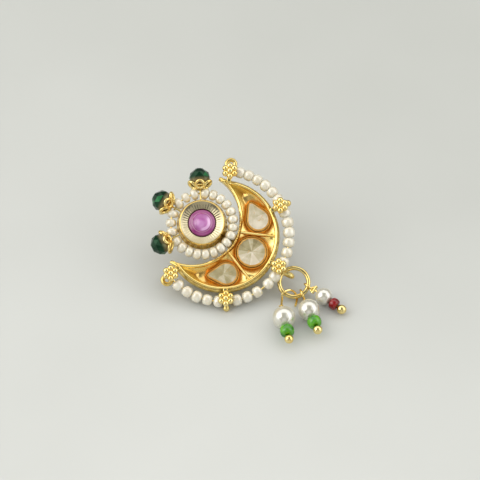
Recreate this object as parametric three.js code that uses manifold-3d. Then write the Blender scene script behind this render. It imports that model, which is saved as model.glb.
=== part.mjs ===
// A nose pin: a gold crescent set with three pale stones and edged with seed pearls, a flower of pearls
// round a pink stone, three capped green beads, and three small drops on a jump ring.
// Millimetres, +Z up. The pin lies on a table, propped on its bent post, with its face tilted.
import * as THREE from 'three';
import { mergeVertices } from 'three/addons/utils/BufferGeometryUtils.js';
import Module from 'manifold-3d';

const wasm = await Module();
wasm.setup();
const { degToRad } = THREE.MathUtils;

// How the pin lies
const FACE_TILT = degToRad(30); // between the face and the table
const FACE_TURN = degToRad(-30); // the crescent's axis points down to the right
const BOX_CENTRE = { x: 4.25, y: -4.15 }; // the middle of the whole pin, from the crescent's centre
const SEAT_GAP = 0.06; // between a piece and what it is seated on
const CUT_PAST = 1; // how far a cut runs past the face it opens

// The crescent tray, face up, with its axis along +X and its back at z = 0
const CRESCENT = { baseRadius: 9.4, wallRadius: 9.15, innerRadius: 7.8, innerOffset: 5.8, wall: 0.6 };
const TRAY = { floor: 0.5, base: 0.7, height: 1.9, arcSteps: 30 };
const PARTITION = { x: 2.09, y: 1.86, angle: degToRad(22.9), length: 14, thickness: 0.5 };
const STRAP = { from: -5.2, to: 4.2, width: 2.4, bottom: -0.5, top: 0.1 };

// The lugs, each with a rosette of granules on top
const LUG = { from: 8.9, to: 11.4, bottom: 0.3, top: 2.1, thickness: 0.75, drill: 0.3, drillSides: 10 };
const NUB = { at: 12.1, height: 0.8, radius: 0.55, overlap: 0.5, sides: 12 };
const EYE = { at: 11.7, height: -0.1, radius: 1.1, sides: 16, hole: 0.62, holeSides: 14 };
const END_LOOP = { at: 12.0, height: 0.8, radius: 0.71, sides: 12, wire: 0.33, wireSides: 5 };
const ROSETTE = { at: 10.7, height: 2.44, ring: 0.82, petals: 6, middleRise: 0.12 };
const GRANULE = { radius: 0.46, sides: 6, rings: 4 };
const ROSETTE_DISC = { radius: 1.0, sink: 0.05, top: 2.3, sides: 8 };
const LUGS = [
  { angle: 113.4, end: 'loop' },
  { angle: 57, end: 'nub' },
  { angle: 0, end: 'eye' },
  { angle: -57, end: 'nub' },
  { angle: -112.6, end: 'loop' },
];

// The stones in the tray
const STONE = { bottom: TRAY.floor + SEAT_GAP, bevel: 0.42, girdle: 0.15 };
const ROUND_STONE = { x: 5.55, radius: 2.5, facets: 16, inset: 1.2 };
const PEAR_STONE = {
  tipX: 0.83, tipY: 7.26, angle: degToRad(-34.5), reach: 3.6, radius: 1.9, inset: 0.8, steps: 14,
};

// The flower
const FLOWER_X = -3.9;
const BEZEL = { radius: 4.15, bandTop: 1.0, seatRadius: 2.32, seat: 1.6, dish: 0.5, sides: 28 };
const RIM = { radius: 3.6, top: 2.6, outside: 0.12, outsideDrop: 0.14, inside: 0.2, insideDrop: 0.05 };
const PINK_STONE = { radius: 2.24, girdle: 0.3, dome: 1.2, domeSteps: 5, sides: 16 };
const PEARL = { sides: 10, latitudes: [-46, 0, 46], wire: 0.15 };
const FLOWER_PEARLS = { ring: 5.13, height: 1.25, radius: 0.93, length: 14.6 }; // length in degrees
const SPOKES = [123, 180, 237]; // degrees round the flower
const FLOWER_GROUPS = [
  { from: 134.2, to: 168.8, count: 3 },
  { from: 191.2, to: 225.8, count: 3 },
  { from: 245.7, to: 474.3, count: 16 },
];
const NOTCH = { radius: 6.16, bottom: 0.24, sides: 48 }; // room for the pearls in the tray's inner wall

// The capped beads, along a spoke from the flower's centre
const SPOKE = { height: 1.6, wire: 0.17, sides: 6, from: 4.04, to: 8.6 };
const HUB = { from: 6.12, to: 6.4, radius: 0.95, neck: 0.57, edge: 0.1, sides: 10 };
const LOBES = { count: 6, at: 6.55, out: 1.42, flare: degToRad(65) };
const LOBE = { reach: 0.8, width: 0.68, thickness: 0.24, sides: 8, rings: 4 };
const GREEN_BEAD = { from: 6.6, to: 9.2, radius: 1.72, start: 0.8, tip: 0.6, sides: 10 };
const GREEN_BEAD_HOLE = { radius: 0.24, end: 8.75 };
const GREEN_BEAD_SWELL = [[0.87, 0.18], [1, 0.38], [1, 0.6], [0.72, 0.88]]; // shares of radius and length

// The seed pearls along the crescent: groups between lugs, angles from the axis
const EDGE_PEARLS = { ring: 10.99, height: 1.0, radius: 0.97, length: 8.1 }; // length in degrees
const UPPER_GROUPS = [
  { from: 6.3, to: 50.6, count: 6 },
  { from: 63.4, to: 104.9, count: 6 },
];
const LOWER_GROUPS = [
  { from: -101.2, to: -63.6, count: 5 },
  { from: -47.6, to: -28.7, count: 3 },
  { from: -16.8, to: -8.5, count: 2 },
];
const UPPER_WIRE = { from: 0.4, to: 116.5 };
const LOWER_WIRE = { from: -115.7, to: -0.4 };

// The jump ring, level with the face, through the middle lug's eye
const JUMP_RING = { radius: 2.4, sides: 24, wire: 0.37, wireSides: 6, turn: degToRad(-17) };

// The drops, lying on the table: place and heading on the table, and the sizes of what is threaded
const DROPS = [
  { name: 'a', ringAngle: 236, x: 10.07, y: -13.87, heading: -79.9, dip: 0, pearl: 1.9, bead: 1.2,
    length: 1.87, ball: 0.76, eye: 1.02, eyeTurn: -32, wrap: 0.4, colour: 0x2f9a2c },
  { name: 'b', ringAngle: 305.5, x: 14.19, y: -12.18, heading: -71.6, dip: 0, pearl: 1.8, bead: 1.2,
    length: 1.8, ball: 0.77, eye: 0.82, eyeTurn: 0, wrap: 0.4, colour: 0x2f9a2c },
  { name: 'c', ringAngle: 343.5, x: 16.67, y: -9.05, heading: -39.2, dip: 7, pearl: 1.43, bead: 1.0,
    length: 1.5, ball: 0.8, eye: 0.78, eyeTurn: 0, wrap: 0.6, colour: 0xb3122f },
];
const DROP = { hole: 0.26, slack: 0.12, gap: 0.05 };
const DROP_WIRE = { radius: 0.18, sides: 5, steps: 12, eyeSides: 12 };
const DROP_WRAP = { length: 0.36, sides: 10 };
const DROP_BALL = { sides: 10, rings: 6 };
const DROP_PEARL = { sides: 14, steps: 9 };
const DROP_BEAD_SIDES = 12;
const DROP_BEAD_SWELL = [[0.62, -1], [0.93, -0.6], [1, 0], [0.93, 0.6], [0.62, 1]]; // shares of both

// The bent post behind the flower
const POST = { radius: 0.45, bend: 1.1, foot: 4.6, sides: 8, steps: 22 };

const gold = { color: 0xe0ad3a, roughness: 0.25, metalness: 1 };
const paleGold = { color: 0xe3cf8a, roughness: 0.25, metalness: 1 };
const pearlWhite = { color: 0xeee6da, roughness: 0.3, metalness: 0 };
const paleStone = { color: 0xcfc2a8, roughness: 0.1, metalness: 0 };
const pink = { color: 0xc9489b, roughness: 0.1, metalness: 0 };
const darkGreen = { color: 0x12352a, roughness: 0.08, metalness: 0 };

// A closed geometry as a solid for joining and cutting
function toSolid(geometry) {
  const bare = geometry.clone();
  bare.deleteAttribute('normal');
  bare.deleteAttribute('uv');
  const merged = mergeVertices(bare, 1e-4);
  const corners = merged.index.array;
  const kept = [];
  for (let i = 0; i < corners.length; i += 3) {
    const [a, b, c] = corners.slice(i, i + 3);
    if (a !== b && b !== c && c !== a) kept.push(a, b, c);
  }
  return new wasm.Manifold(new wasm.Mesh({
    numProp: 3,
    vertProperties: new Float32Array(merged.attributes.position.array),
    triVerts: new Uint32Array(kept),
  }));
}

function toGeometry(solid) {
  const { vertProperties, triVerts } = solid.getMesh();
  const geometry = new THREE.BufferGeometry();
  geometry.setAttribute('position', new THREE.BufferAttribute(vertProperties, 3));
  geometry.setIndex(new THREE.BufferAttribute(triVerts, 1));
  geometry.computeVertexNormals();
  return geometry;
}

function join(geometries) {
  return geometries.map(toSolid).reduce((whole, piece) => whole.add(piece));
}

function named(name, geometry, look) {
  const mesh = new THREE.Mesh(geometry, new THREE.MeshStandardMaterial(look));
  mesh.name = name;
  return mesh;
}

// Points of an arc in the plane, without its last point
function arcPoints(centreX, radius, from, to, steps) {
  return Array.from({ length: steps }, (_, i) => {
    const angle = from + ((to - from) * i) / steps;
    return new THREE.Vector2(centreX + radius * Math.cos(angle), radius * Math.sin(angle));
  });
}

function circleShape(radius, sides) {
  return new THREE.Shape(arcPoints(0, radius, 0, 2 * Math.PI, sides));
}

function slab(shape, bottom, top) {
  const depth = top - bottom;
  return new THREE.ExtrudeGeometry(shape, { depth, bevelEnabled: false }).translate(0, 0, bottom);
}

function boxBetween(x, y, z) {
  const centre = [x, y, z].map(([low, high]) => (low + high) / 2);
  return new THREE.BoxGeometry(x[1] - x[0], y[1] - y[0], z[1] - z[0]).translate(...centre);
}

// A cylinder along Y
function rod(radius, length, x, z, sides) {
  return new THREE.CylinderGeometry(radius, radius, length, sides).translate(x, 0, z);
}

function uprightRod(radius, bottom, top, x, sides) {
  const rise = top - bottom;
  return new THREE.CylinderGeometry(radius, radius, rise, sides)
    .rotateX(Math.PI / 2)
    .translate(x, 0, bottom + rise / 2);
}

// A profile of [radius, height] pairs turned about +Z
function turned(profile, sides) {
  const points = profile.map(([radius, height]) => new THREE.Vector2(radius, height));
  return new THREE.LatheGeometry(points, sides).rotateX(Math.PI / 2);
}

function wireAlong(extrudePath, { radius, sides, steps }) {
  return new THREE.ExtrudeGeometry(circleShape(radius, sides), { extrudePath, steps });
}

// The area between an outer arc about the centre and an inner arc set back along the axis
function crescentShape(outer, inner) {
  const back = CRESCENT.innerOffset;
  const hornX = -(back ** 2 + outer ** 2 - inner ** 2) / (2 * back);
  const hornY = Math.sqrt(outer ** 2 - hornX ** 2);
  const outerAngle = Math.atan2(hornY, hornX);
  const innerAngle = Math.atan2(hornY, hornX + back);
  return new THREE.Shape([
    ...arcPoints(0, outer, -outerAngle, outerAngle, TRAY.arcSteps),
    ...arcPoints(-back, inner, innerAngle, -innerAngle, TRAY.arcSteps),
  ]);
}

function crescentTray() {
  const { baseRadius, wallRadius, innerRadius, wall } = CRESCENT;
  const cells = crescentShape(wallRadius - wall, innerRadius + wall);
  let cut = toSolid(slab(cells, TRAY.floor, TRAY.height + CUT_PAST));
  for (const side of [1, -1]) {
    const { length, thickness, angle, x, y } = PARTITION;
    const partition = new THREE.BoxGeometry(length, thickness, 2 * (TRAY.height + 2 * CUT_PAST))
      .rotateZ(side * angle)
      .translate(x, side * y, 0);
    cut = cut.subtract(toSolid(partition));
  }
  const notch = uprightRod(NOTCH.radius, NOTCH.bottom, TRAY.height + CUT_PAST, FLOWER_X, NOTCH.sides);
  const strap = boxBetween(
    [STRAP.from, STRAP.to], [-STRAP.width / 2, STRAP.width / 2], [STRAP.bottom, STRAP.top],
  );
  return join([
    slab(crescentShape(baseRadius, innerRadius), 0, TRAY.base),
    slab(crescentShape(wallRadius, innerRadius), 0, TRAY.height),
  ])
    .subtract(cut)
    .subtract(toSolid(notch))
    .add(toSolid(strap));
}

function rosette() {
  const { radius, sides, rings } = GRANULE;
  const ball = () => new THREE.SphereGeometry(radius, sides, rings).rotateX(Math.PI / 2);
  const disc = uprightRod(
    ROSETTE_DISC.radius, LUG.top - ROSETTE_DISC.sink, ROSETTE_DISC.top, ROSETTE.at, ROSETTE_DISC.sides,
  );
  const balls = [ball().translate(ROSETTE.at, 0, ROSETTE.height + ROSETTE.middleRise)];
  for (let i = 0; i < ROSETTE.petals; i += 1) {
    const angle = (2 * Math.PI * (i + 0.5)) / ROSETTE.petals;
    const x = ROSETTE.at + ROSETTE.ring * Math.cos(angle);
    balls.push(ball().translate(x, ROSETTE.ring * Math.sin(angle), ROSETTE.height));
  }
  return join([disc, ...balls]);
}

// A lug along +X, drilled for the pearls' wire
function lug(end) {
  const half = LUG.thickness / 2;
  let solid = toSolid(boxBetween([LUG.from, LUG.to], [-half, half], [LUG.bottom, LUG.top]));
  if (end === 'nub') {
    const sides = [NUB.height - NUB.radius, NUB.height + NUB.radius];
    solid = solid
      .add(toSolid(boxBetween([LUG.to - NUB.overlap, NUB.at], [-half, half], sides)))
      .add(toSolid(rod(NUB.radius, LUG.thickness, NUB.at, NUB.height, NUB.sides)));
  }
  if (end === 'eye') {
    solid = solid
      .add(toSolid(rod(EYE.radius, LUG.thickness, EYE.at, EYE.height, EYE.sides)))
      .subtract(toSolid(rod(EYE.hole, LUG.thickness + CUT_PAST, EYE.at, EYE.height, EYE.holeSides)));
  }
  if (end === 'loop') {
    const { at, height, radius, sides, wire, wireSides } = END_LOOP;
    const loop = new THREE.TorusGeometry(radius, wire, wireSides, sides).translate(at, 0, height);
    solid = solid.add(toSolid(loop));
  }
  const { ring, height } = EDGE_PEARLS;
  const drill = rod(LUG.drill, LUG.thickness + CUT_PAST, ring, height, LUG.drillSides);
  return solid.subtract(toSolid(drill)).add(rosette());
}

function crescentSetting() {
  return LUGS.reduce(
    (whole, { angle, end }) => whole.add(lug(end).rotate([0, 0, angle])),
    crescentTray(),
  );
}

// A cut stone from its outline, with a table and a ring of facets above and below the girdle
function cutStone(outline, inset) {
  return new THREE.ExtrudeGeometry(outline, {
    depth: STONE.girdle,
    bevelThickness: STONE.bevel,
    bevelSize: inset,
    bevelOffset: -inset,
    bevelSegments: 1,
  }).translate(0, 0, STONE.bottom + STONE.bevel);
}

// A pear outline with its tip at the origin and its round end along +X
function pearShape() {
  const { reach, radius, steps } = PEAR_STONE;
  const shoulder = Math.PI / 2 + Math.asin(radius / reach);
  return new THREE.Shape([
    new THREE.Vector2(0, 0),
    ...arcPoints(reach, radius, -shoulder, shoulder, steps),
    new THREE.Vector2(reach + radius * Math.cos(shoulder), radius * Math.sin(shoulder)),
  ]);
}

function pearStone(name, side) {
  const stone = named(name, cutStone(pearShape(), PEAR_STONE.inset), paleStone);
  stone.position.set(PEAR_STONE.tipX, side * PEAR_STONE.tipY, 0);
  stone.rotation.z = side * PEAR_STONE.angle;
  return stone;
}

function flowerBezel() {
  const { radius, bandTop, seatRadius, seat, dish, sides } = BEZEL;
  const bottom = STRAP.top + SEAT_GAP;
  return turned([
    [0, bottom],
    [radius, bottom],
    [radius, bandTop],
    [RIM.radius + RIM.outside, RIM.top - RIM.outsideDrop],
    [RIM.radius, RIM.top],
    [RIM.radius - RIM.inside, RIM.top - RIM.insideDrop],
    [seatRadius, RIM.top - dish],
    [seatRadius, seat],
    [0, seat],
  ], sides);
}

function pinkStone() {
  const bottom = BEZEL.seat + SEAT_GAP;
  const { radius, girdle, dome, domeSteps, sides } = PINK_STONE;
  const profile = [[0, bottom], [radius, bottom]];
  for (let i = 0; i <= domeSteps; i += 1) {
    const angle = (Math.PI / 2) * (i / domeSteps);
    profile.push([radius * Math.cos(angle), bottom + girdle + dome * Math.sin(angle)]);
  }
  profile[profile.length - 1][0] = 0;
  return turned(profile, sides);
}

// A string of seed pearls as [radius, degrees] pairs, with a stretch of wire between pearls
function pearlProfile(groups, { radius, length }) {
  return groups.flatMap(({ from, to, count }) => Array.from({ length: count }, (_, i) => {
    const middle = from + ((to - from) * i) / (count - 1);
    const swell = PEARL.latitudes.map((latitude) => [
      radius * Math.cos(degToRad(latitude)),
      middle + (length / 2) * Math.sin(degToRad(latitude)),
    ]);
    return [[PEARL.wire, middle - length / 2], ...swell, [PEARL.wire, middle + length / 2]];
  })).flat();
}

// A turned string whose height is in degrees, bent round a ring about Z
function bentRound(profile, { ring, height }) {
  const points = profile.map(([radius, degrees]) => new THREE.Vector2(radius, degrees));
  const string = new THREE.LatheGeometry(points, PEARL.sides);
  const places = string.attributes.position;
  for (let i = 0; i < places.count; i += 1) {
    const reach = ring + places.getX(i);
    const angle = degToRad(places.getY(i));
    places.setXYZ(i, reach * Math.cos(angle), reach * Math.sin(angle), height + places.getZ(i));
  }
  return string;
}

// The ring's last stretch of wire runs on to its first pearl
function flowerPearlRing() {
  const profile = pearlProfile(FLOWER_GROUPS, FLOWER_PEARLS);
  return bentRound([...profile, [PEARL.wire, profile[0][1] + 360]], FLOWER_PEARLS);
}

function edgePearlString(groups, wire) {
  const profile = pearlProfile(groups, EDGE_PEARLS);
  const ends = (degrees) => [[0, degrees], [PEARL.wire, degrees]];
  return bentRound([...ends(wire.from), ...profile, ...ends(wire.to).reverse()], EDGE_PEARLS);
}

// A lobed cap with the wire that carries its bead, along +X
function beadCap() {
  const alongSpoke = (geometry) => geometry.rotateY(Math.PI / 2).translate(0, 0, SPOKE.height);
  const hub = turned([
    [0, HUB.from],
    [HUB.neck, HUB.from],
    [HUB.radius, HUB.to - HUB.edge],
    [HUB.radius, HUB.to],
    [0, HUB.to],
  ], HUB.sides);
  const wire = uprightRod(SPOKE.wire, SPOKE.from, SPOKE.to, 0, SPOKE.sides);
  const ball = new THREE.SphereGeometry(1, LOBE.sides, LOBE.rings);
  const lobes = Array.from({ length: LOBES.count }, (_, i) => ball.clone()
    .scale(LOBE.width, LOBE.reach, LOBE.thickness)
    .rotateZ(Math.PI / 2)
    .rotateY(LOBES.flare - Math.PI / 2)
    .translate(LOBES.out, 0, LOBES.at)
    .rotateZ((2 * Math.PI * (i + 0.5)) / LOBES.count));
  return join([hub, wire, ...lobes].map(alongSpoke));
}

// A faceted bead with a blind hole, along +X
function greenBead() {
  const { from, to, radius, start, tip, sides } = GREEN_BEAD;
  const hole = GREEN_BEAD_HOLE;
  return turned([
    [0, hole.end],
    [hole.radius, hole.end],
    [hole.radius, from],
    [start, from],
    ...GREEN_BEAD_SWELL.map(([wide, along]) => [radius * wide, from + (to - from) * along]),
    [tip, to],
    [0, to],
  ], sides).rotateY(Math.PI / 2).translate(0, 0, SPOKE.height);
}

function capAndBead(degrees, i) {
  const spoke = new THREE.Group();
  spoke.rotation.z = degToRad(degrees);
  spoke.add(
    named(`bead_cap_${i + 1}`, toGeometry(beadCap()), gold),
    named(`green_bead_${i + 1}`, greenBead(), darkGreen),
  );
  return spoke;
}

// A round bead threaded on a pin along +Z
function drilledPearl(radius) {
  const { sides, steps } = DROP_PEARL;
  const first = -Math.acos(DROP.hole / radius);
  const profile = Array.from({ length: steps + 1 }, (_, i) => {
    const angle = first * (1 - (2 * i) / steps);
    return [radius * Math.cos(angle), radius * Math.sin(angle)];
  });
  return turned([...profile, profile[0]], sides);
}

function drilledBead(radius, length) {
  const half = length / 2;
  const profile = [
    [DROP.hole, -half],
    ...DROP_BEAD_SWELL.map(([wide, along]) => [radius * wide, half * along]),
    [DROP.hole, half],
  ];
  return turned([...profile, profile[0]], DROP_BEAD_SIDES);
}

// The crescent's height puts its lowest nub on the table
const lowestLug = degToRad(LUGS[3].angle) + FACE_TURN;
const faceHeight = NUB.radius - NUB.height * Math.cos(FACE_TILT)
  - (NUB.at * Math.sin(lowestLug) - (LUG.thickness / 2) * Math.cos(lowestLug)) * Math.sin(FACE_TILT);

const face = new THREE.Group();
face.rotation.set(FACE_TILT, 0, FACE_TURN);
face.position.z = faceHeight;
face.updateMatrixWorld(true);

const ringCentre = new THREE.Vector3(
  EYE.at + JUMP_RING.radius * Math.cos(JUMP_RING.turn),
  JUMP_RING.radius * Math.sin(JUMP_RING.turn),
  EYE.height,
);

// A point on the jump ring, and the ring's direction there, on the table
function onJumpRing(degrees) {
  const angle = degToRad(degrees) - FACE_TURN;
  const outward = new THREE.Vector3(Math.cos(angle), Math.sin(angle), 0);
  const point = outward.clone().multiplyScalar(JUMP_RING.radius).add(ringCentre);
  const along = new THREE.Vector3(-Math.sin(angle), Math.cos(angle), 0);
  return { point: face.localToWorld(point), along: along.transformDirection(face.matrixWorld) };
}

// A drop's axis runs from its eye through the pearl and the bead to the ball
function dropAxis({ heading, dip }) {
  const spin = degToRad(heading);
  const fall = degToRad(dip);
  const level = Math.cos(fall);
  return new THREE.Vector3(level * Math.cos(spin), level * Math.sin(spin), -Math.sin(fall));
}

function dropPin(drop) {
  const axis = dropAxis(drop);
  const pearlCentre = new THREE.Vector3(drop.x, drop.y, drop.pearl);
  const along = (distance) => pearlCentre.clone().addScaledVector(axis, distance);
  const ring = onJumpRing(drop.ringAngle);
  const eyeCentre = ring.point.clone().addScaledVector(axis, DROP.slack);
  const eyeNormal = ring.along.addScaledVector(axis, -ring.along.dot(axis)).normalize();
  eyeNormal.applyAxisAngle(axis, degToRad(drop.eyeTurn));
  const facing = new THREE.Quaternion().setFromUnitVectors(new THREE.Vector3(0, 0, 1), eyeNormal);
  const eye = new THREE.TorusGeometry(drop.eye, DROP_WIRE.radius, DROP_WIRE.sides, DROP_WIRE.eyeSides);
  const neckTop = eyeCentre.clone().addScaledVector(axis, drop.eye);
  const ballAt = drop.pearl + drop.length + drop.ball + DROP.gap;
  const shank = new THREE.CatmullRomCurve3([
    neckTop,
    along(-drop.pearl - DROP_WRAP.length),
    along(-drop.pearl),
    along(0),
    along(ballAt),
  ]);
  const turnedTo = new THREE.Quaternion().setFromUnitVectors(new THREE.Vector3(0, 1, 0), axis);
  const wrapAt = along(-drop.pearl - DROP_WRAP.length / 2 - DROP.gap);
  const wrap = new THREE.CylinderGeometry(drop.wrap, drop.wrap, DROP_WRAP.length, DROP_WRAP.sides);
  const ball = new THREE.SphereGeometry(drop.ball, DROP_BALL.sides, DROP_BALL.rings);
  return join([
    eye.applyQuaternion(facing).translate(...eyeCentre),
    wireAlong(shank, DROP_WIRE),
    wrap.applyQuaternion(turnedTo).translate(...wrapAt),
    ball.applyQuaternion(turnedTo).translate(...along(ballAt)),
  ]);
}

function dropPieces(drop) {
  const axis = dropAxis(drop);
  const facing = new THREE.Quaternion().setFromUnitVectors(new THREE.Vector3(0, 0, 1), axis);
  const pearl = named(`drop_pearl_${drop.name}`, drilledPearl(drop.pearl), pearlWhite);
  const beadLook = { color: drop.colour, roughness: 0.1, metalness: 0 };
  const beadLength = drop.length - 2 * DROP.gap;
  const bead = named(`drop_bead_${drop.name}`, drilledBead(drop.bead, beadLength), beadLook);
  pearl.position.set(drop.x, drop.y, drop.pearl);
  bead.position.copy(pearl.position).addScaledVector(axis, drop.pearl + drop.length / 2);
  pearl.quaternion.copy(facing);
  bead.quaternion.copy(facing);
  return [named(`drop_pin_${drop.name}`, toGeometry(dropPin(drop)), gold), pearl, bead];
}

// The post stands square on the flower's strap, and its foot turns aside along the table
function nosePost() {
  const top = face.localToWorld(new THREE.Vector3(FLOWER_X, 0, STRAP.bottom - SEAT_GAP));
  const down = new THREE.Vector3(0, 0, -1).transformDirection(face.matrixWorld);
  const corner = top.clone().addScaledVector(down, (top.z - POST.radius) / -down.z);
  const aside = new THREE.Vector3(1, 0, 0);
  const path = new THREE.CurvePath();
  const bendStart = corner.clone().addScaledVector(down, -POST.bend);
  const bendEnd = corner.clone().addScaledVector(aside, POST.bend);
  const footEnd = corner.clone().addScaledVector(aside, POST.foot);
  path.add(new THREE.LineCurve3(top, bendStart));
  path.add(new THREE.QuadraticBezierCurve3(bendStart, corner, bendEnd));
  path.add(new THREE.LineCurve3(bendEnd, footEnd));
  return wireAlong(path, POST);
}

const roundOutline = circleShape(ROUND_STONE.radius, ROUND_STONE.facets);
const roundStone = named('round_stone', cutStone(roundOutline, ROUND_STONE.inset), paleStone);
roundStone.position.x = ROUND_STONE.x;

const ringShape = new THREE.TorusGeometry(
  JUMP_RING.radius, JUMP_RING.wire, JUMP_RING.wireSides, JUMP_RING.sides,
);
const jumpRing = named('jump_ring', ringShape, gold);
jumpRing.position.copy(ringCentre);

const flower = new THREE.Group();
flower.position.x = FLOWER_X;
flower.add(
  named('flower_bezel', flowerBezel(), paleGold),
  named('pink_stone', pinkStone(), pink),
  named('flower_pearl_ring', flowerPearlRing(), pearlWhite),
  ...SPOKES.map(capAndBead),
);

face.add(
  named('crescent_setting', toGeometry(crescentSetting()), gold),
  roundStone,
  pearStone('pear_stone_upper', 1),
  pearStone('pear_stone_lower', -1),
  named('pearl_string_upper', edgePearlString(UPPER_GROUPS, UPPER_WIRE), pearlWhite),
  named('pearl_string_lower', edgePearlString(LOWER_GROUPS, LOWER_WIRE), pearlWhite),
  jumpRing,
  flower,
);

const nosePin = new THREE.Group();
nosePin.position.set(-BOX_CENTRE.x, -BOX_CENTRE.y, 0);
nosePin.add(face, ...DROPS.flatMap(dropPieces), named('nose_post', nosePost(), gold));

export default nosePin;
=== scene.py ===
# %% [markdown]
# # A crescent nose pin with pearls
# The pin is a shallow gold crescent tray with three pale stones, seed pearls on a wire round its edge, a
# flower of pearls in its hollow, and three small drops on a ring. The solids come from a packed model. This
# lesson makes a finer piece over each of them and gives it a finish.

# %% Load the solids
import random
from collections import namedtuple
from math import acos, asin, atan2, cos, inf, pi, radians, sin, sqrt

import bmesh
import bpy
from mathutils import Matrix, Vector
from mathutils.geometry import interpolate_bezier


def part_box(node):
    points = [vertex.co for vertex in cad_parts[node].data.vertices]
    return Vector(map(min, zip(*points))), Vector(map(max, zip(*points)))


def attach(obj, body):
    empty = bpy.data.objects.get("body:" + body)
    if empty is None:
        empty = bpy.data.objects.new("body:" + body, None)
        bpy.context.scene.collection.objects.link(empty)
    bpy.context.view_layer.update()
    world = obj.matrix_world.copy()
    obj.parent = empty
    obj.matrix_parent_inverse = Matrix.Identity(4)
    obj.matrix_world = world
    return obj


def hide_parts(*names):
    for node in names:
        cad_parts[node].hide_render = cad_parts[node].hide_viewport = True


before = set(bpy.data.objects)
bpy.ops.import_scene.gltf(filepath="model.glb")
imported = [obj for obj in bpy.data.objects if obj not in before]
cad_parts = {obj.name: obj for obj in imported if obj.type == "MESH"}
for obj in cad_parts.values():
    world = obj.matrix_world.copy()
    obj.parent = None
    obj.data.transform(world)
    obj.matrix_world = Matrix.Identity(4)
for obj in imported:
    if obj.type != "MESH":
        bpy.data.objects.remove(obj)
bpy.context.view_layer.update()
print("solids:", len(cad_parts))

# %% [markdown]
# ## Two frames to work in
# The pin lies on a table, propped on its post, so its face is tilted and turned. A piece is easiest to make
# flat, in millimetres, with the crescent's axis along +X, and to lay in place with one matrix. The middle
# of the jump ring's box tells where the face is.

# %% The face and the table
MM = 0.001
FACE_TILT = radians(30)
FACE_TURN = radians(-30)
EYE_AT = 11.7
EYE_HEIGHT = -0.1
RING_RADIUS = 2.4
RING_WIRE = 0.37
RING_TURN = radians(-17)


def polar(radius, angle):
    return radius * cos(angle), radius * sin(angle)


ring_centre = Vector((EYE_AT, 0, EYE_HEIGHT)) + Vector((*polar(RING_RADIUS, RING_TURN), 0))
face_turned = Matrix.Rotation(FACE_TILT, 4, "X") @ Matrix.Rotation(FACE_TURN, 4, "Z")
ring_low, ring_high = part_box("jump_ring")
face_origin = (ring_low + ring_high) / 2 - face_turned.to_3x3() @ (ring_centre * MM)
FACE = Matrix.Translation(face_origin) @ face_turned @ Matrix.Scale(MM, 4)
TABLE = Matrix.Translation((face_origin.x, face_origin.y, 0)) @ Matrix.Scale(MM, 4)
print("the face's origin in mm:", [round(x / MM, 3) for x in face_origin])

# %% [markdown]
# ## Camera
# The pin is seen from the front and well above. A long lens keeps near and far pieces at nearly the same
# scale. The width of the field at the pin is given, and the distance follows from the lens.

# %% Camera
VIEW_HEIGHT = radians(50)
FIELD_WIDTH = 79.2 * MM
LENS = 300
SENSOR = 36
CLIP_START = 0.01
LOOK_AT = face_origin + Vector((2.89, -0.76, 0.09)) * MM


def linked(name, data):
    thing = bpy.data.objects.new(name, data)
    bpy.context.scene.collection.objects.link(thing)
    return thing


to_camera = Vector((0, -cos(VIEW_HEIGHT), sin(VIEW_HEIGHT)))
camera = linked("camera", bpy.data.cameras.new("camera"))
camera.data.lens = LENS
camera.data.sensor_width = SENSOR
camera.data.clip_start = CLIP_START
camera.location = LOOK_AT + to_camera * (FIELD_WIDTH * LENS / SENSOR)
camera.rotation_euler = to_camera.to_track_quat("Z", "Y").to_euler()
bpy.context.scene.camera = camera
print("camera distance in mm:", round((camera.location - LOOK_AT).length / MM))

# %% [markdown]
# ## Node trees as sums
# A finish is a tree of nodes. Wiring every node by hand hides the idea, so a socket is wrapped in a small
# class that knows Python's own signs: `1 - mask` adds a Math node.

# %% Sockets that can be reckoned with
class Socket:
    """An output of a node, for use in sums and as an input of other nodes."""

    def __init__(self, board, socket):
        self.board = board
        self.socket = socket

    def out(self, name):
        return Socket(self.board, self.socket.node.outputs[name])

    def maths(self, operation, first, second=0.0):
        return self.board.node("ShaderNodeMath", {0: first, 1: second}, operation=operation)

    def __add__(self, other):
        return self.maths("ADD", self, other)

    def __sub__(self, other):
        return self.maths("SUBTRACT", self, other)

    def __rsub__(self, other):
        return self.maths("SUBTRACT", other, self)

    def __mul__(self, other):
        return self.maths("MULTIPLY", self, other)

    def __pow__(self, other):
        return self.maths("POWER", self, other)

    def __abs__(self):
        return self.maths("ABSOLUTE", self)

    __radd__ = __add__
    __rmul__ = __mul__

    def sign(self):
        return self.maths("SIGN", self)

    def at_least(self, low):
        return self.maths("MAXIMUM", self, low)

    def between(self, low, high):
        """0 below low, 1 above high, and a soft step from one to the other."""
        sockets = {0: self, 1: low, 2: high}
        return self.board.node("ShaderNodeMapRange", sockets, interpolation_type="SMOOTHSTEP")

    def band(self, low, high, soft):
        """1 between low and high, with a soft step on either side."""
        return self.between(low, low + soft) * (1 - self.between(high, high + soft))


print("the signs that sockets know:", "+ - * **")

# %% [markdown]
# ## Boards
# A board is a node tree to add nodes to. Each node could be made in a few lines of its own, but one
# method that sets a node's settings first and then its sockets keeps a tree as short as a list.

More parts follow.
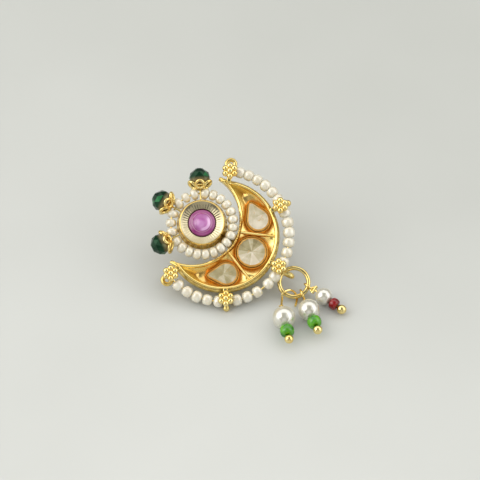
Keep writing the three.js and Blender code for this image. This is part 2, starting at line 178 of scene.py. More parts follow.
# %% Boards
class Board:
    """A node tree to add nodes to."""

    def __init__(self, tree):
        self.tree = tree

    def node(self, kind, sockets=None, out=0, **settings):
        node = self.tree.nodes.new(kind)
        for name, value in settings.items():
            if name == "stops":
                self.set_stops(node.color_ramp, value)
            else:
                setattr(node, name, value)
        for name, value in (sockets or {}).items():
            self.feed(node.inputs[name], value)
        return Socket(self, node.outputs[out]) if node.outputs else node

    def feed(self, target, value):
        for item in value if isinstance(value, list) else [value]:
            if isinstance(item, Socket):
                self.tree.links.new(item.socket, target)
            else:
                target.default_value = item

    def set_stops(self, ramp, stops):
        while len(ramp.elements) < len(stops):
            ramp.elements.new(0.5)
        for element, (place, tone) in zip(ramp.elements, stops):
            element.position = place
            element.color = tone

    def mix(self, first, second, factor):
        return self.node("ShaderNodeMix", {0: factor, 6: first, 7: second}, out=2, data_type="RGBA")

    def vector_maths(self, operation, first, second=(0, 0, 0), out=0):
        return self.node("ShaderNodeVectorMath", {0: first, 1: second}, out, operation=operation)

    def part(self, vector, axis):
        return self.node("ShaderNodeSeparateXYZ", {0: vector}, axis)


print("ways to add nodes:", [name for name in vars(Board) if name[0] != "_"])

# %% [markdown]
# ## A finish
# Each finish is one glossy shader. What is the same all over is set on the shader itself, and only what
# changes over the surface is wired to it. Patterns are laid out in millimetres on the face, by a Mapping
# node that undoes its tilt and turn.

# %% The start of a finish
class Finish(Board):
    """A material with one shader, whose patterns read places in millimetres on the face."""

    def __init__(self, name, **constants):
        self.material = bpy.data.materials.new(name)
        self.material.use_nodes = True
        super().__init__(self.material.node_tree)
        self.shader = self.tree.nodes["Principled BSDF"]
        for socket, value in constants.items():
            self.shader.inputs[socket.replace("_", " ")].default_value = value
        self.place = self.node("ShaderNodeMapping", {
            "Vector": self.node("ShaderNodeTexCoord", out="Object"),
            "Location": face_origin,
            "Rotation": face_turned.to_euler(),
            "Scale": (MM, MM, MM),
        }, vector_type="TEXTURE")

    def wire(self, **values):
        for name, value in values.items():
            self.feed(self.shader.inputs[name.replace("_", " ")], value)

    def wired(self, name):
        return Socket(self, self.shader.inputs[name].links[0].from_socket)

    def tint(self, tone, mask):
        """Lays a tone over the colour so far, where the mask is 1."""
        self.wire(Base_Color=self.mix(self.wired("Base Color"), tone, mask))

    def noise(self, scale, detail=2.0):
        return self.node("ShaderNodeTexNoise", {"Vector": self.place, "Scale": scale, "Detail": detail})

    def bump(self, height, strength, depth):
        sockets = {"Height": height, "Strength": strength, "Distance": depth * MM}
        self.wire(Normal=self.node("ShaderNodeBump", sockets))

    def raise_bump(self, height):
        """Adds to the height that the bump reads."""
        reader = self.wired("Normal").socket.node.inputs["Height"]
        self.feed(reader, Socket(self, reader.links[0].from_socket) + height)

    def height(self):
        return self.part(self.place, "Z")

    def facet(self):
        return self.node("ShaderNodeAttribute", out="Fac", attribute_name="facet")

    def from_middle(self, middle):
        """The distance from a middle, and how far to its +X side a place lies."""
        offset = self.vector_maths("SUBTRACT", self.place, middle)
        return self.vector_maths("LENGTH", offset, out="Value"), self.part(offset, "X")


def colour(red, green, blue):
    return (red, green, blue, 1.0)


print("a finish reads places from", [round(x / MM, 1) for x in face_origin], "mm")

# %% [markdown]
# ## Plain gold
# Gold plating is a clear yellow that goes to amber where gold mirrors gold. Polish is never quite even,
# so slow noise moves the colour, and fine noise the roughness and the normal. One even colour would be
# simpler, but close up it looks like plastic.

# %% Plain gold
LEMON_GOLD = colour(0.9, 0.74, 0.32)
WARM_GOLD = colour(0.84, 0.58, 0.16)
DRIFT_NOISE = 0.55  # the noises are in patches a millimetre
WAVE_NOISE = 1.1
GRAIN_NOISE = 7.0


def gold_finish(name, bright, deep, roughness, wave_depth=0.05):
    gold = Finish(name, Metallic=1.0)
    drift = gold.noise(DRIFT_NOISE, 3.0).between(0.35, 0.75)
    grain = gold.noise(GRAIN_NOISE)
    gold.wire(Base_Color=gold.mix(bright, deep, drift), Roughness=roughness + grain * 0.08)
    gold.bump(gold.noise(WAVE_NOISE, 1.0) + grain * 0.06, 0.6, wave_depth)
    return gold


polished_gold = gold_finish("polished gold", LEMON_GOLD, WARM_GOLD, roughness=0.09)
# the lips' amber is gold with painted shade, a deeper orange for the narrow gap round each stone
amber_gold = gold_finish("amber gold", colour(0.98, 0.52, 0.11), colour(0.86, 0.38, 0.07), roughness=0.34)
print("nodes in a plain gold:", len(polished_gold.tree.nodes))

# %% [markdown]
# ## Gold in the tray and the bezel
# In the depth of the cells the gold gets painted shade, amber and then brown towards their floor. It is
# lumpy with solder beside the flower, and pale in the bezel's dish. A painted map could show this, but
# masks of height and distance need no unwrapping.

# %% Gold of the tray and the bezel
TRAY_GOLD = colour(0.84, 0.68, 0.26)
# painted shade: the next two tones darken the cells towards their floor, where gold mirrors gold
CELL_SHADE_GOLD = colour(0.64, 0.35, 0.09)
DEEP_SHADE_GOLD = colour(0.42, 0.15, 0.03)
SOLDER_GOLD = colour(0.66, 0.4, 0.1)
PALE_GOLD = colour(0.49, 0.43, 0.28)
DULL_GOLD = colour(0.42, 0.36, 0.22)
LUMP_NOISE = 2.6
LUMP_RISE = 14
FLOOR_HEIGHT = 0.5
FLOOR_RISE = 0.85
FLOOR_BOTTOM = (FLOOR_HEIGHT + 0.02, FLOOR_HEIGHT + 0.25)  # soft edges in mm, from and to
PLATE_TOP = (0.3, 0.45)
RIM_START = (1.3, 1.5)
CELL_END = (8.6, 8.8)
SOLDER_END = (6.4, 6.62)
DISH_END = (3.62, 3.8)
TRAY_MIDDLE = (0, 0, 1)
FLOWER_MIDDLE = Vector((-3.9, 0, 1.6))


def tray_finish():
    """Painted shade, amber to brown, in the depth of the cells, lumpy solder beside the flower, and duller
    below the rim.
    """
    gold = gold_finish("tray gold", TRAY_GOLD, WARM_GOLD, roughness=0.08)
    height = gold.height()
    above_plate = height.between(*PLATE_TOP)
    from_centre, _ = gold.from_middle(TRAY_MIDDLE)
    from_flower, _ = gold.from_middle(FLOWER_MIDDLE)
    inside = (1 - from_centre.between(*CELL_END)) * above_plate
    cell_shade = inside * (1 - height.between(FLOOR_HEIGHT, FLOOR_HEIGHT + FLOOR_RISE))
    deepest_shade = inside * (1 - height.between(*FLOOR_BOTTOM))
    solder = (1 - from_flower.between(*SOLDER_END)) * above_plate
    # painted shade in the cells' depth, then real solder beside the flower
    gold.tint(CELL_SHADE_GOLD, cell_shade * 0.8)
    gold.tint(DEEP_SHADE_GOLD, deepest_shade * 0.75)
    gold.tint(SOLDER_GOLD, solder * 0.7)
    gold.raise_bump(gold.noise(LUMP_NOISE) * solder * LUMP_RISE)
    gold.wire(Roughness=gold.wired("Roughness") + (1 - height.between(*RIM_START)) * 0.16)
    return gold


def bright_cut_finish():
    """Pale in the dish, with a warmer band outside it."""
    gold = gold_finish("bright cut gold", PALE_GOLD, DULL_GOLD, roughness=0.18, wave_depth=0.03)
    from_flower, _ = gold.from_middle(FLOWER_MIDDLE)
    gold.tint(WARM_GOLD, from_flower.between(*DISH_END))
    return gold


tray_gold = tray_finish()
bright_cut_gold = bright_cut_finish()
print("nodes in the tray's finish:", len(tray_gold.tree.nodes))

# %% [markdown]
# ## Pearl
# A pearl's skin goes from white to cream and shines through a clear top layer. Coat, sheen and a little
# subsurface do this without modelling layers. The seed pearls are satin, and the drop pearls are much
# glossier.

# %% Pearl finishes
LIGHT_DEPTH = (0.5 * MM, 0.4 * MM, 0.25 * MM)


def pearl_finish(name, light, shade, roughness, mirror, glow):
    pearl = Finish(name, IOR=1.5, Coat_Weight=1.0, Coat_Roughness=roughness, Coat_IOR=mirror,
                   Sheen_Weight=glow, Sheen_Roughness=0.3, Sheen_Tint=colour(1.0, 0.96, 0.86),
                   Subsurface_Weight=0.15, Subsurface_Scale=1.0, Subsurface_Radius=LIGHT_DEPTH)
    drift = pearl.noise(0.9, 3.0).between(0.3, 0.7)
    skin = pearl.noise(4.0)
    pearl.wire(Base_Color=pearl.mix(light, shade, drift), Roughness=0.3 + skin * 0.15)
    pearl.bump(skin, 0.3 * roughness, 0.1)
    return pearl


seed_pearl = pearl_finish("seed pearl", colour(0.78, 0.745, 0.62), colour(0.69, 0.62, 0.45),
                          roughness=0.1, mirror=2.3, glow=0.1)
drop_pearl = pearl_finish("drop pearl", colour(0.57, 0.55, 0.43), colour(0.49, 0.46, 0.35),
                          roughness=0.02, mirror=4.2, glow=0.6)
print("nodes in a pearl's finish:", len(seed_pearl.tree.nodes))

# %% [markdown]
# ## Pale stones and glass
# The pale stones are foggy slices with foil behind them. Clear glass would show little of that, so a
# number kept on each facet sets a painted brightness that stands for its reflection, and the faces round
# the table get painted amber shade. The drops' beads are coloured glass, clouded by slow noise.

# %% Pale stones and glass
STONE_TONES = [(0.0, colour(0.2, 0.15, 0.06)), (0.45, colour(0.47, 0.41, 0.22)),
               (1.0, colour(0.9, 0.82, 0.66))]
HONEY = colour(0.7, 0.42, 0.14)
# painted shade, amber, at the stone's edge
EDGE_SHADE_AMBER = colour(0.86, 0.47, 0.12)


def pale_stone_finish():
    """Tones from a facet's painted brightness, which stands for its reflection, with honey specks, and
    painted amber shade on the edge where the brightness is 0.
    """
    stone = Finish("pale stone", Coat_Weight=1.0, Coat_Roughness=0.03, IOR=1.6, Transmission_Weight=0.2)
    facet = stone.facet()
    fog = stone.noise(0.8).between(0.35, 0.7)
    speck = stone.noise(2.3, 1.0).between(0.66, 0.74)
    body = stone.node("ShaderNodeValToRGB", {0: facet * 0.75 + fog * 0.25}, stops=STONE_TONES)
    # painted shade: amber on the faces round the table, where the brightness is 0
    edge = 1 - facet.between(0.05, 0.15)
    tinted = stone.mix(stone.mix(body, HONEY, speck * 0.5), EDGE_SHADE_AMBER, edge)
    stone.wire(Base_Color=tinted, Roughness=0.05 + fog * 0.15)
    return stone


def glass_finish(name, light, dark, clear, scale=0.7, coat=1.0, **constants):
    glass = Finish(name, IOR=1.52, Coat_Weight=coat, Coat_Roughness=0.03, Transmission_Weight=clear,
                   **constants)
    cloud = glass.noise(scale).between(0.3, 0.75)
    glass.wire(Base_Color=glass.mix(light, dark, cloud), Roughness=0.04 + glass.noise(2.5) * 0.08)
    return glass


LEAF_LIGHT, LEAF_DARK = colour(0.12, 0.46, 0.008), colour(0.02, 0.18, 0.004)
RED_LIGHT, RED_DARK = colour(0.3, 0.004, 0.006), colour(0.1, 0.0, 0.002)
pale_stone = pale_stone_finish()
leaf_green_glass = glass_finish("leaf green glass", LEAF_LIGHT, LEAF_DARK, clear=0.1, scale=0.9, coat=0.5)
red_glass = glass_finish("red glass", RED_LIGHT, RED_DARK, clear=0.1, scale=0.9, coat=0.15)
print("nodes in the pale stone:", len(pale_stone.tree.nodes))

# %% [markdown]
# ## Green beads and the pink stone
# The beads in the caps are dark, with a painted green glint in a few facets, and the pink stone has a
# painted glow, a painted highlight and a rim of painted shade. Light traced through clear glass would be
# slow and grainy, so this light and shade is painted by facet, and as spots and rings about a middle.

# %% Green beads and the pink stone
CAP_BROWN = colour(0.24, 0.18, 0.09)
CAP_SHADE = (7.1, 8.0)  # a soft edge in mm from the flower's middle
PINK_GLOW = (-3.97, -0.39, 3.1)


def capped_glass_finish():
    """Dark green that goes brown beside the cap, with a painted green glint in a few facets."""
    glass = glass_finish("dark green glass", colour(0.006, 0.032, 0.014), colour(0.001, 0.01, 0.005),
                         clear=0.0, coat=0.1, Specular_Tint=colour(0.25, 0.58, 0.3))
    away, _ = glass.from_middle(FLOWER_MIDDLE)
    # painted glint: the few brightest facets are lit green
    flash = glass.facet().between(0.9, 0.92)
    glass.tint(colour(0.012, 0.12, 0.035), flash)
    glass.tint(CAP_BROWN, 1 - away.between(*CAP_SHADE))
    return glass


def cabochon_finish():
    """Magenta with painted light and shade: lighter on its light side, a painted glow in its middle, a
    painted highlight, a shaded rim, a thin ring of painted highlight and painted shade at its foot.
    """
    glass = glass_finish("pink glass", colour(0.38, 0.06, 0.3), colour(0.3, 0.04, 0.24),
                         clear=0.1, scale=0.5)
    away, aside = glass.from_middle(FLOWER_MIDDLE)
    from_glow, _ = glass.from_middle(PINK_GLOW)
    light_side = aside.between(-0.6, 1.2)
    glow = 1 - from_glow.between(0.35, 1.0)
    gleam = away.band(1.62, 1.73, soft=0.04) * aside.between(0.2, 0.8)
    rim_shade = away.between(1.75, 1.8)
    ring_highlight = away.band(1.8, 1.85, soft=0.03)
    foot = away.between(2.12, 2.26)
    # painted light and shade, laid over the magenta one after another
    layers = [
        (colour(0.66, 0.26, 0.6), light_side * 0.7),
        (colour(0.72, 0.38, 0.7), glow * 0.6),
        (colour(0.9, 0.52, 0.85), gleam * 0.8),
        (colour(0.27, 0.02, 0.15), rim_shade * 0.8),
        (colour(0.72, 0.36, 0.58), ring_highlight * 0.35),
        (colour(0.27, 0.03, 0.15), foot),
    ]
    for tone, mask in layers:
        glass.tint(tone, mask)
    return glass


dark_green_glass = capped_glass_finish()
pink_glass = cabochon_finish()
print("nodes in the pink glass:", len(pink_glass.tree.nodes))

# %% [markdown]
# ## Shapes from rows of points
# Most pieces are turned shapes or bars along a path. Operators could make them one by one, but helpers
# that give plain lists of points and faces let several shapes be laid in place and joined in one mesh.

# %% Turned shapes
def around(radius, sides, turn=0.0):
    return [polar(radius, 2 * pi * (k + turn) / sides) for k in range(sides)]


def bands(rows, size, closed=True, looped=False):
    """Four-sided faces between rows of points: rows can be closed, and the last can join the first."""
    faces = []
    for row in range(rows if looped else rows - 1):
        low, high = row * size, (row + 1) % rows * size
        for k in range(size if closed else size - 1):
            n = (k + 1) % size
            faces.append((low + k, low + n, high + n, high + k))
    return faces


def turned(profile, sides, closed=False):
    """A profile of (radius, height) pairs turned about Z."""
    points = [(x, y, height) for radius, height in profile for x, y in around(radius, sides)]
    return points, bands(len(profile), sides, looped=closed)


def ball(radius, sides=20, rings=12):
    profile = [polar(radius, pi * (k / rings - 0.5)) for k in range(1, rings)]
    return turned([(0, -radius), *profile, (0, radius)], sides)


print("faces of a ball:", len(ball(1.0)[1]))

# %% [markdown]
# ## Bars along a path
# Wires, partitions and lips are one section carried along a path. A curve object with a bevel could do
# this, but it would have to be converted. Here the section stands square to the path, and it can be told
# which way is up.

# %% Bars along a path
def end_faces(rows, size):
    return [tuple(range(size - 1, -1, -1)), tuple(range((rows - 1) * size, rows * size))]


def swept(path, section, closed=False, up=None):
    """A closed section of (across, over) pairs carried along a path."""
    path = [Vector(p) for p in path]
    count = len(path)
    points = []
    over = Vector(up) if up else None
    for i, place in enumerate(path):
        before = path[i - 1] if i or closed else place
        after = path[(i + 1) % count] if i < count - 1 or closed else place
        along = (after - before).normalized()
        if over is None:
            over = along.orthogonal()
        across = along.cross(Vector(up) if up else over).normalized()
        over = across.cross(along).normalized()
        points += [place + across * a + over * b for a, b in section]
    faces = bands(count, len(section), looped=closed)
    return points, faces if closed else faces + end_faces(count, len(section))


def tube(path, radius, sides=12, closed=False):
    return swept(path, around(radius, sides), closed)


def circle_path(radius, steps, centre=(0.0, 0.0, 0.0)):
    return [(centre[0] + x, centre[1] + y, centre[2]) for x, y in around(radius, steps)]


def smooth_path(points, steps):
    """A curve through the points, as a run of short steps."""
    points = [Vector(p) for p in points]
    ends = [2 * points[0] - points[1], *points, 2 * points[-1] - points[-2]]
    path = []
    for a, b, c, d in zip(ends, ends[1:], ends[2:], ends[3:]):
        path += interpolate_bezier(b, b + (c - a) / 6, c - (d - b) / 6, c, steps + 1)[:-1]
    return [*path, points[-1]]


print("faces of a short tube:", len(tube([(0, 0, 0), (0, 0, 1)], 1.0)[1]))

# %% [markdown]
# ## Boxes, and shapes in place
# Lugs and the strap are boxes with rounded edges, and a bevel gives those with the fewest lines. A shape
# is made about the origin and then moved or turned as a whole, which is easier than working out its
# points where they lie.

# %% Boxes, and shapes in place
def rounded_box(x, y, z, edge, steps=3):
    """A box between (low, high) pairs, with its edges rounded."""
    bm = bmesh.new()
    bmesh.ops.create_cube(bm, size=1.0)
    for vertex in bm.verts:
        vertex.co = [low + (high - low) * (c + 0.5) for c, (low, high) in zip(vertex.co, (x, y, z))]
    bmesh.ops.bevel(bm, geom=bm.edges[:], offset=edge, segments=steps, profile=0.5, affect="EDGES")
    bm.verts.index_update()
    shape = [v.co.copy() for v in bm.verts], [tuple(v.index for v in f.verts) for f in bm.faces]
    bm.free()
    return shape


def placed(shape, matrix):
    points, faces = shape
    return [matrix @ Vector(p) for p in points], faces


def moved(shape, x=0.0, y=0.0, z=0.0):
    return placed(shape, Matrix.Translation((x, y, z)))


def spun(shape, degrees, axis="Z"):
    return placed(shape, Matrix.Rotation(radians(degrees), 4, axis))


print("faces of a rounded box:", len(rounded_box((0, 1), (0, 1), (0, 1), 0.1)[1]))

# %% [markdown]
# ## From shapes to pieces
# A piece is one mesh in metres, with its place in its mesh. Doubled points are merged and faces are turned
# outwards. Then it gets its finish, rides on the pin's one body, and the solid that it stands for is hidden.

# %% Joining and dressing
MERGE_DISTANCE = 1e-4 * MM
CREASE = 40


def mesh_of(name, shapes, matrix):
    mesh = bpy.data.meshes.new(name)
    points, faces = [], []
    for shape_points, shape_faces in shapes:
        start = len(points)
        points += [matrix @ Vector(p) for p in shape_points]
        faces += [tuple(start + k for k in face) for face in shape_faces]
    mesh.from_pydata(points, [], faces)
    bm = bmesh.new()
    bm.from_mesh(mesh)
    bmesh.ops.remove_doubles(bm, verts=bm.verts, dist=MERGE_DISTANCE)
    bmesh.ops.recalc_face_normals(bm, faces=bm.faces)
    bm.to_mesh(mesh)
    bm.free()
    return mesh


def dress(name, mesh, finish, slot, *nodes, crease=CREASE):
    mesh.materials.clear()
    mesh.materials.append(finish.material)
    mesh.polygons.foreach_set("use_smooth", [True] * len(mesh.polygons))
    mesh.set_sharp_from_angle(angle=radians(crease))
    piece = linked(name, mesh)
    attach(piece, "root")
    if nodes:
        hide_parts(*nodes)
    print(name, len(mesh.polygons), "faces")


def make(name, shapes, matrix, finish, slot, *nodes, crease=CREASE):
    dress(name, mesh_of(name, shapes, matrix), finish, slot, *nodes, crease=crease)


def keep_facets(mesh, values):
    """Keeps a painted brightness on each face, which a finish reads: reflections in the stones, glints in
    the beads.
    """
    mesh.attributes.new("facet", "FLOAT", "FACE").data.foreach_set("value", values)


print("points merge within", MERGE_DISTANCE / MM, "mm")

# %% [markdown]
# ## Growing what repeats
# Pearls, granules and petals repeat, so Geometry Nodes lay them out. A loop would do as well, but a tree
# keeps its sizes as named inputs. It is put on an object as a modifier, and the result is copied to a plain
# mesh.

# %% Geometry Nodes helpers
SOCKET_KINDS = {float: "NodeSocketFloat", int: "NodeSocketInt"}


class Grower(Board):
    """A tree with named sizes that grows a mesh from points."""

    def __init__(self, name, sizes):
        tree = bpy.data.node_groups.new(name, "GeometryNodeTree")
        tree.is_modifier = True
        super().__init__(tree)
        self.sizes = sizes
        tree.interface.new_socket("Geometry", in_out="INPUT", socket_type="NodeSocketGeometry")
        for size, value in sizes.items():
            tree.interface.new_socket(size, in_out="INPUT", socket_type=SOCKET_KINDS[type(value)])
        tree.interface.new_socket("Geometry", in_out="OUTPUT", socket_type="NodeSocketGeometry")
        self.given = self.node("NodeGroupInput")

    def size(self, name):
        return self.given.out(name)

    def vector(self, x=0.0, y=0.0, z=0.0):
        return self.node("ShaderNodeCombineXYZ", {0: x, 1: y, 2: z})

    def ball(self, segments, rings, radius):
        sockets = {"Segments": segments, "Rings": rings, "Radius": radius}
        return self.node("GeometryNodeMeshUVSphere", sockets)

    def ring(self, points, radius):
        return self.node("GeometryNodeMeshCircle", {"Vertices": points, "Radius": radius})

    def hoop(self, points, radius):
        return self.node("GeometryNodeCurvePrimitiveCircle", {"Resolution": points, "Radius": radius})

    def changed(self, geometry, **changes):
        return self.node("GeometryNodeTransform", {"Geometry": geometry, **changes})

    def set_on(self, points, instance, **changes):
        return self.node("GeometryNodeInstanceOnPoints", {"Points": points, "Instance": instance, **changes})

    def end(self, geometry, finish):
        solid = self.node("GeometryNodeRealizeInstances", {"Geometry": geometry})
        painted = self.node("GeometryNodeSetMaterial", {"Geometry": solid, "Material": finish.material})
        self.node("NodeGroupOutput", {"Geometry": painted})

    def grow(self, points, edges, matrix, **changes):
        start = bpy.data.meshes.new("points")
        start.from_pydata(points, edges, [])
        seedbed = linked("seedbed", start)
        modifier = seedbed.modifiers.new("grow", "NODES")
        modifier.node_group = self.tree
        for item in self.tree.interface.items_tree:
            if item.in_out == "INPUT" and item.name in self.sizes:
                modifier[item.identifier] = changes.get(item.name, self.sizes[item.name])
        evaluated = seedbed.evaluated_get(bpy.context.evaluated_depsgraph_get())
        mesh = bpy.data.meshes.new_from_object(evaluated)
        seedbed.modifiers.clear()
        bpy.data.objects.remove(seedbed)
        mesh.transform(matrix)
        return mesh


print("a tree's sizes can be:", [kind.__name__ for kind in SOCKET_KINDS])

# %% [markdown]
# ## The crescent tray
# The tray is a crescent plate with a rounded wall. Every contour is a crescent between an outer and an
# inner arc that meet at the horns, so the wall can be a stack of loops with the same number of points,
# which needs no cutting. The inner arc keeps clear of the flower's pearls.

# %% Contours of the tray
INNER_BACK = 5.8
ARC_STEPS = 96
NOTCH_RADIUS = 6.16
NOTCH_BOTTOM = 0.24
FLOWER_AT = FLOWER_MIDDLE.xy


def clear_of_flower(point, height):
    """Moves a point of the inner wall out of the room that the flower's pearls need."""
    offset = point - FLOWER_AT
    if height > NOTCH_BOTTOM and offset.length < NOTCH_RADIUS:
        point = FLOWER_AT + offset.normalized() * NOTCH_RADIUS
    return point


def contour(outer, inner, height):
    """The crescent's outer and inner arcs at a height, from the lower horn to the upper one."""
    horn_x = -(INNER_BACK ** 2 + outer ** 2 - inner ** 2) / (2 * INNER_BACK)
    horn_y = sqrt(outer ** 2 - horn_x ** 2)
    outer_end = atan2(horn_y, horn_x)
    inner_end = atan2(horn_y, horn_x + INNER_BACK)
    shares = [2 * k / ARC_STEPS - 1 for k in range(ARC_STEPS + 1)]
    out = [Vector(polar(outer, outer_end * s)) for s in shares]
    into = [Vector(polar(inner, inner_end * s)) - Vector((INNER_BACK, 0)) for s in shares]
    return out, [clear_of_flower(p, height) for p in into]


print("points round a contour:", 2 * ARC_STEPS)

# %% [markdown]
# ## Outlines of the stones
# The middle stone is round and the others are pears that point to the horns. A pear is an arc and two
# straight sides with a blunt tip, simpler than a curve drawn by hand. The lower one is the upper one's
# mirror image.

# %% Round and pear outlines
ROUND_X = 5.55
ROUND_RADIUS = 2.5
PEAR_TIP = Vector((0.83, 7.26))
PEAR_ANGLE = radians(-34.5)
PEAR_REACH = 3.6
PEAR_RADIUS = 1.9
PEAR_STEPS = 26
PEAR_SIDE_SHARES = (0.62, 0.24)
BLUNT_TIP = 0.13
pear_turn = Matrix.Rotation(PEAR_ANGLE, 2)


def round_outline(steps=16):
    return [Vector((ROUND_X + a, b)) for a, b in around(ROUND_RADIUS, steps)]


def pear_outline(side):
    shoulder = pi / 2 + asin(PEAR_RADIUS / PEAR_REACH)
    angles = [shoulder * (2 * k / PEAR_STEPS - 1) for k in range(PEAR_STEPS + 1)]
    pear = [Vector((PEAR_REACH, 0)) + Vector(polar(PEAR_RADIUS, angle)) for angle in angles]
    first, last = pear[0], pear[-1]
    there = [last * share for share in PEAR_SIDE_SHARES]
    back = [first * share for share in reversed(PEAR_SIDE_SHARES)]
    whole = [pear_turn @ p + PEAR_TIP for p in [*pear, *there, (first + last) * BLUNT_TIP / 2, *back]]
    return whole if side > 0 else [Vector((p.x, -p.y)) for p in reversed(whole)]


outlines = {"round": round_outline(64), "upper": pear_outline(1), "lower": pear_outline(-1)}
print("points in the outlines:", {name: len(outline) for name, outline in outlines.items()})

# %% [markdown]
# ## The floor of the cells
# Foil is pressed down round each stone, so a cell's floor is lowest there and rises into hills in the
# corners and banks along the wall, which catch the light. It could be sculpted, but a grid whose height
# comes from the distance to the nearest stone follows the stones by itself.

# %% Heights of the tray's floor
FLOOR_EDGE = (8.55, 8.4)
FLOOR_STEPS = 22
FLOOR_SLOPE = 1.4
HILL_START = -1.2
HILL_END = 1.2
BANK_WIDTH = 1.1
LIP_ROOM = 0.5


def clamped(share):
    return min(1.0, max(0.0, share))


def distance_outside(point, outline):
    """How far a point lies outside an outline, or 0 inside it."""
    nearest, inside = inf, True
    for a, b in zip(outline, outline[1:] + outline[:1]):
        edge = b - a
        share = clamped((point - a).dot(edge) / edge.length_squared)
        nearest = min(nearest, (point - a - edge * share).length)
        inside = inside and edge.cross(point - a) >= 0
    return 0.0 if inside else nearest


def floor_height(point, to_wall):
    """Rises away from the stones and falls again, flattens towards the horns, and turns up beside a wall."""
    away = min(distance_outside(point, outline) for outline in outlines.values())
    from_horn = clamped((point.x - HILL_START) / (HILL_END - HILL_START))
    hill = from_horn * min(away, 2 * FLOOR_SLOPE - away) / FLOOR_SLOPE
    bank = (1 - to_wall / BANK_WIDTH) * min(1.0, away / LIP_ROOM)
    return FLOOR_HEIGHT + FLOOR_RISE * max(0.0, hill, bank)


def tray_floor():
    points = []
    for a, b in zip(*contour(*FLOOR_EDGE, FLOOR_HEIGHT)):
        for k in range(FLOOR_STEPS + 1):
            p = b.lerp(a, k / FLOOR_STEPS)
            to_wall = (a - b).length * min(k, FLOOR_STEPS - k) / FLOOR_STEPS
            points.append((*p, floor_height(p, to_wall)))
    return points, bands(ARC_STEPS + 1, FLOOR_STEPS + 1, closed=False)


floor_shape = tray_floor()
print("the floor's heights in mm:", [round(f(p[2] for p in floor_shape[0]), 2) for f in (min, max)])

# %% [markdown]
# ## Wall and partitions
# The wall goes from the back plate out to a flange, up to a rounded rim and down to the floor. A bevel
# can't follow two radii, so its loops are listed. The partitions are bars with a rounded top, and a blunt
# end is soldered over each horn's thin point.

# %% Wall, partitions and horns
WALL_LOOPS = [  # outer radius, inner radius, height
    (9.3, 7.9, 0.0), (9.42, 7.82, 0.1), (9.45, 7.8, 0.3), (9.41, 7.8, 0.52), (9.28, 7.8, 0.66),
    (9.08, 7.8, 0.74), (8.98, 7.82, 0.86), (9.02, 7.81, 1.05), (9.15, 7.8, 1.4), (9.12, 7.83, 1.62),
    (9.05, 7.9, 1.77), (8.95, 8.0, 1.86), (8.85, 8.1, 1.9), (8.75, 8.2, 1.86), (8.65, 8.3, 1.77),
    (8.58, 8.37, 1.62), (8.55, 8.4, 1.4),
]
PARTITION_AT = (2.09, 1.86)
PARTITION_ANGLE = 22.9
PARTITION_LENGTH = 6.15
PARTITION_SECTION = [(-0.3, 0.4), (0.3, 0.4), (0.26, 1.2), (0.2, 1.45), (0.1, 1.58), (0, 1.62), (-0.1, 1.58),
                     (-0.2, 1.45), (-0.26, 1.2)]
HORN_FROM = (-3.0, 8.2, 1.6)
HORN_TO = (-5.0, 8.05, 1.2)
HORN_RADIUS = 0.33
UP = (0, 0, 1)


def tray_wall():
    """Loops from the back plate over the rim and down to the floor, and the plate's own faces."""
    points = []
    for outer, inner, height in WALL_LOOPS:
        out, into = contour(outer, inner, height)
        points += [(*p, height) for p in out + into[-2:0:-1]]
    out, into = contour(*FLOOR_EDGE, FLOOR_HEIGHT)
    points += [(*p, floor_height(p, 0.0)) for p in out + into[-2:0:-1]]
    size = 2 * ARC_STEPS
    faces = bands(len(WALL_LOOPS) + 1, size)
    for k in range(ARC_STEPS):
        corners = [k, k + 1, (size - k - 1) % size, (size - k) % size]
        faces.append(tuple(dict.fromkeys(corners)))
    return points, faces


def partition(side):
    x, y = PARTITION_AT
    start = Vector((x, side * y, 0))
    end = start + Vector((*polar(PARTITION_LENGTH, radians(side * PARTITION_ANGLE)), 0))
    return swept([start, end], PARTITION_SECTION, up=UP)


def blunt_horn(side):
    start, end = (Vector((x, side * y, z)) for x, y, z in (HORN_FROM, HORN_TO))
    return [tube([start, end], HORN_RADIUS), moved(ball(HORN_RADIUS), *end)]


tray_shapes = [tray_wall(), floor_shape, partition(1), partition(-1), *blunt_horn(1), *blunt_horn(-1)]
print("shapes of the bare tray:", len(tray_shapes))

# %% [markdown]
# ## Lugs and strap
# Five lugs carry the rosettes. The middle one ends in a long eye for the jump ring, the outer two in loops,
# and the others in nubs. They and the strap behind the flower are soldered on, so they are simple shapes
# joined to the tray in one piece.

# %% Lugs and strap
LUG_ENDS = [(113.4, "loop"), (57, "nub"), (0, "eye"), (-57, "nub"), (-112.6, "loop")]
LUG_BOX = [(8.9, 11.4), (-0.375, 0.375), (0.3, 2.1)]
LUG_EDGE = 0.14
NUB_BOX = [(10.9, 12.25), (-0.375, 0.375), (0.28, 1.32)]
NUB_EDGE = 0.2
NUB_BALL = 0.55
NUB_AT = (12.1, 0, 0.8)
LOOP_AT = {113.4: (12.15, 0, 0.8), -112.6: (11.7, 0.3, 0.8)}
LOOP_RADIUS = 0.71
LOOP_WIRE = 0.37
EYE_STRETCH = 1.4
EYE_PROFILE = [(0.62, -0.2), (0.72, -0.34), (0.95, -0.375), (1.1, -0.2), (1.1, 0.2), (0.95, 0.375),
               (0.72, 0.34), (0.62, 0.2)]
STRAP_BOX = [(-5.2, 4.2), (-1.2, 1.2), (-0.5, 0.1)]
STRAP_EDGE = 0.12
LOOP_SIDES = 28


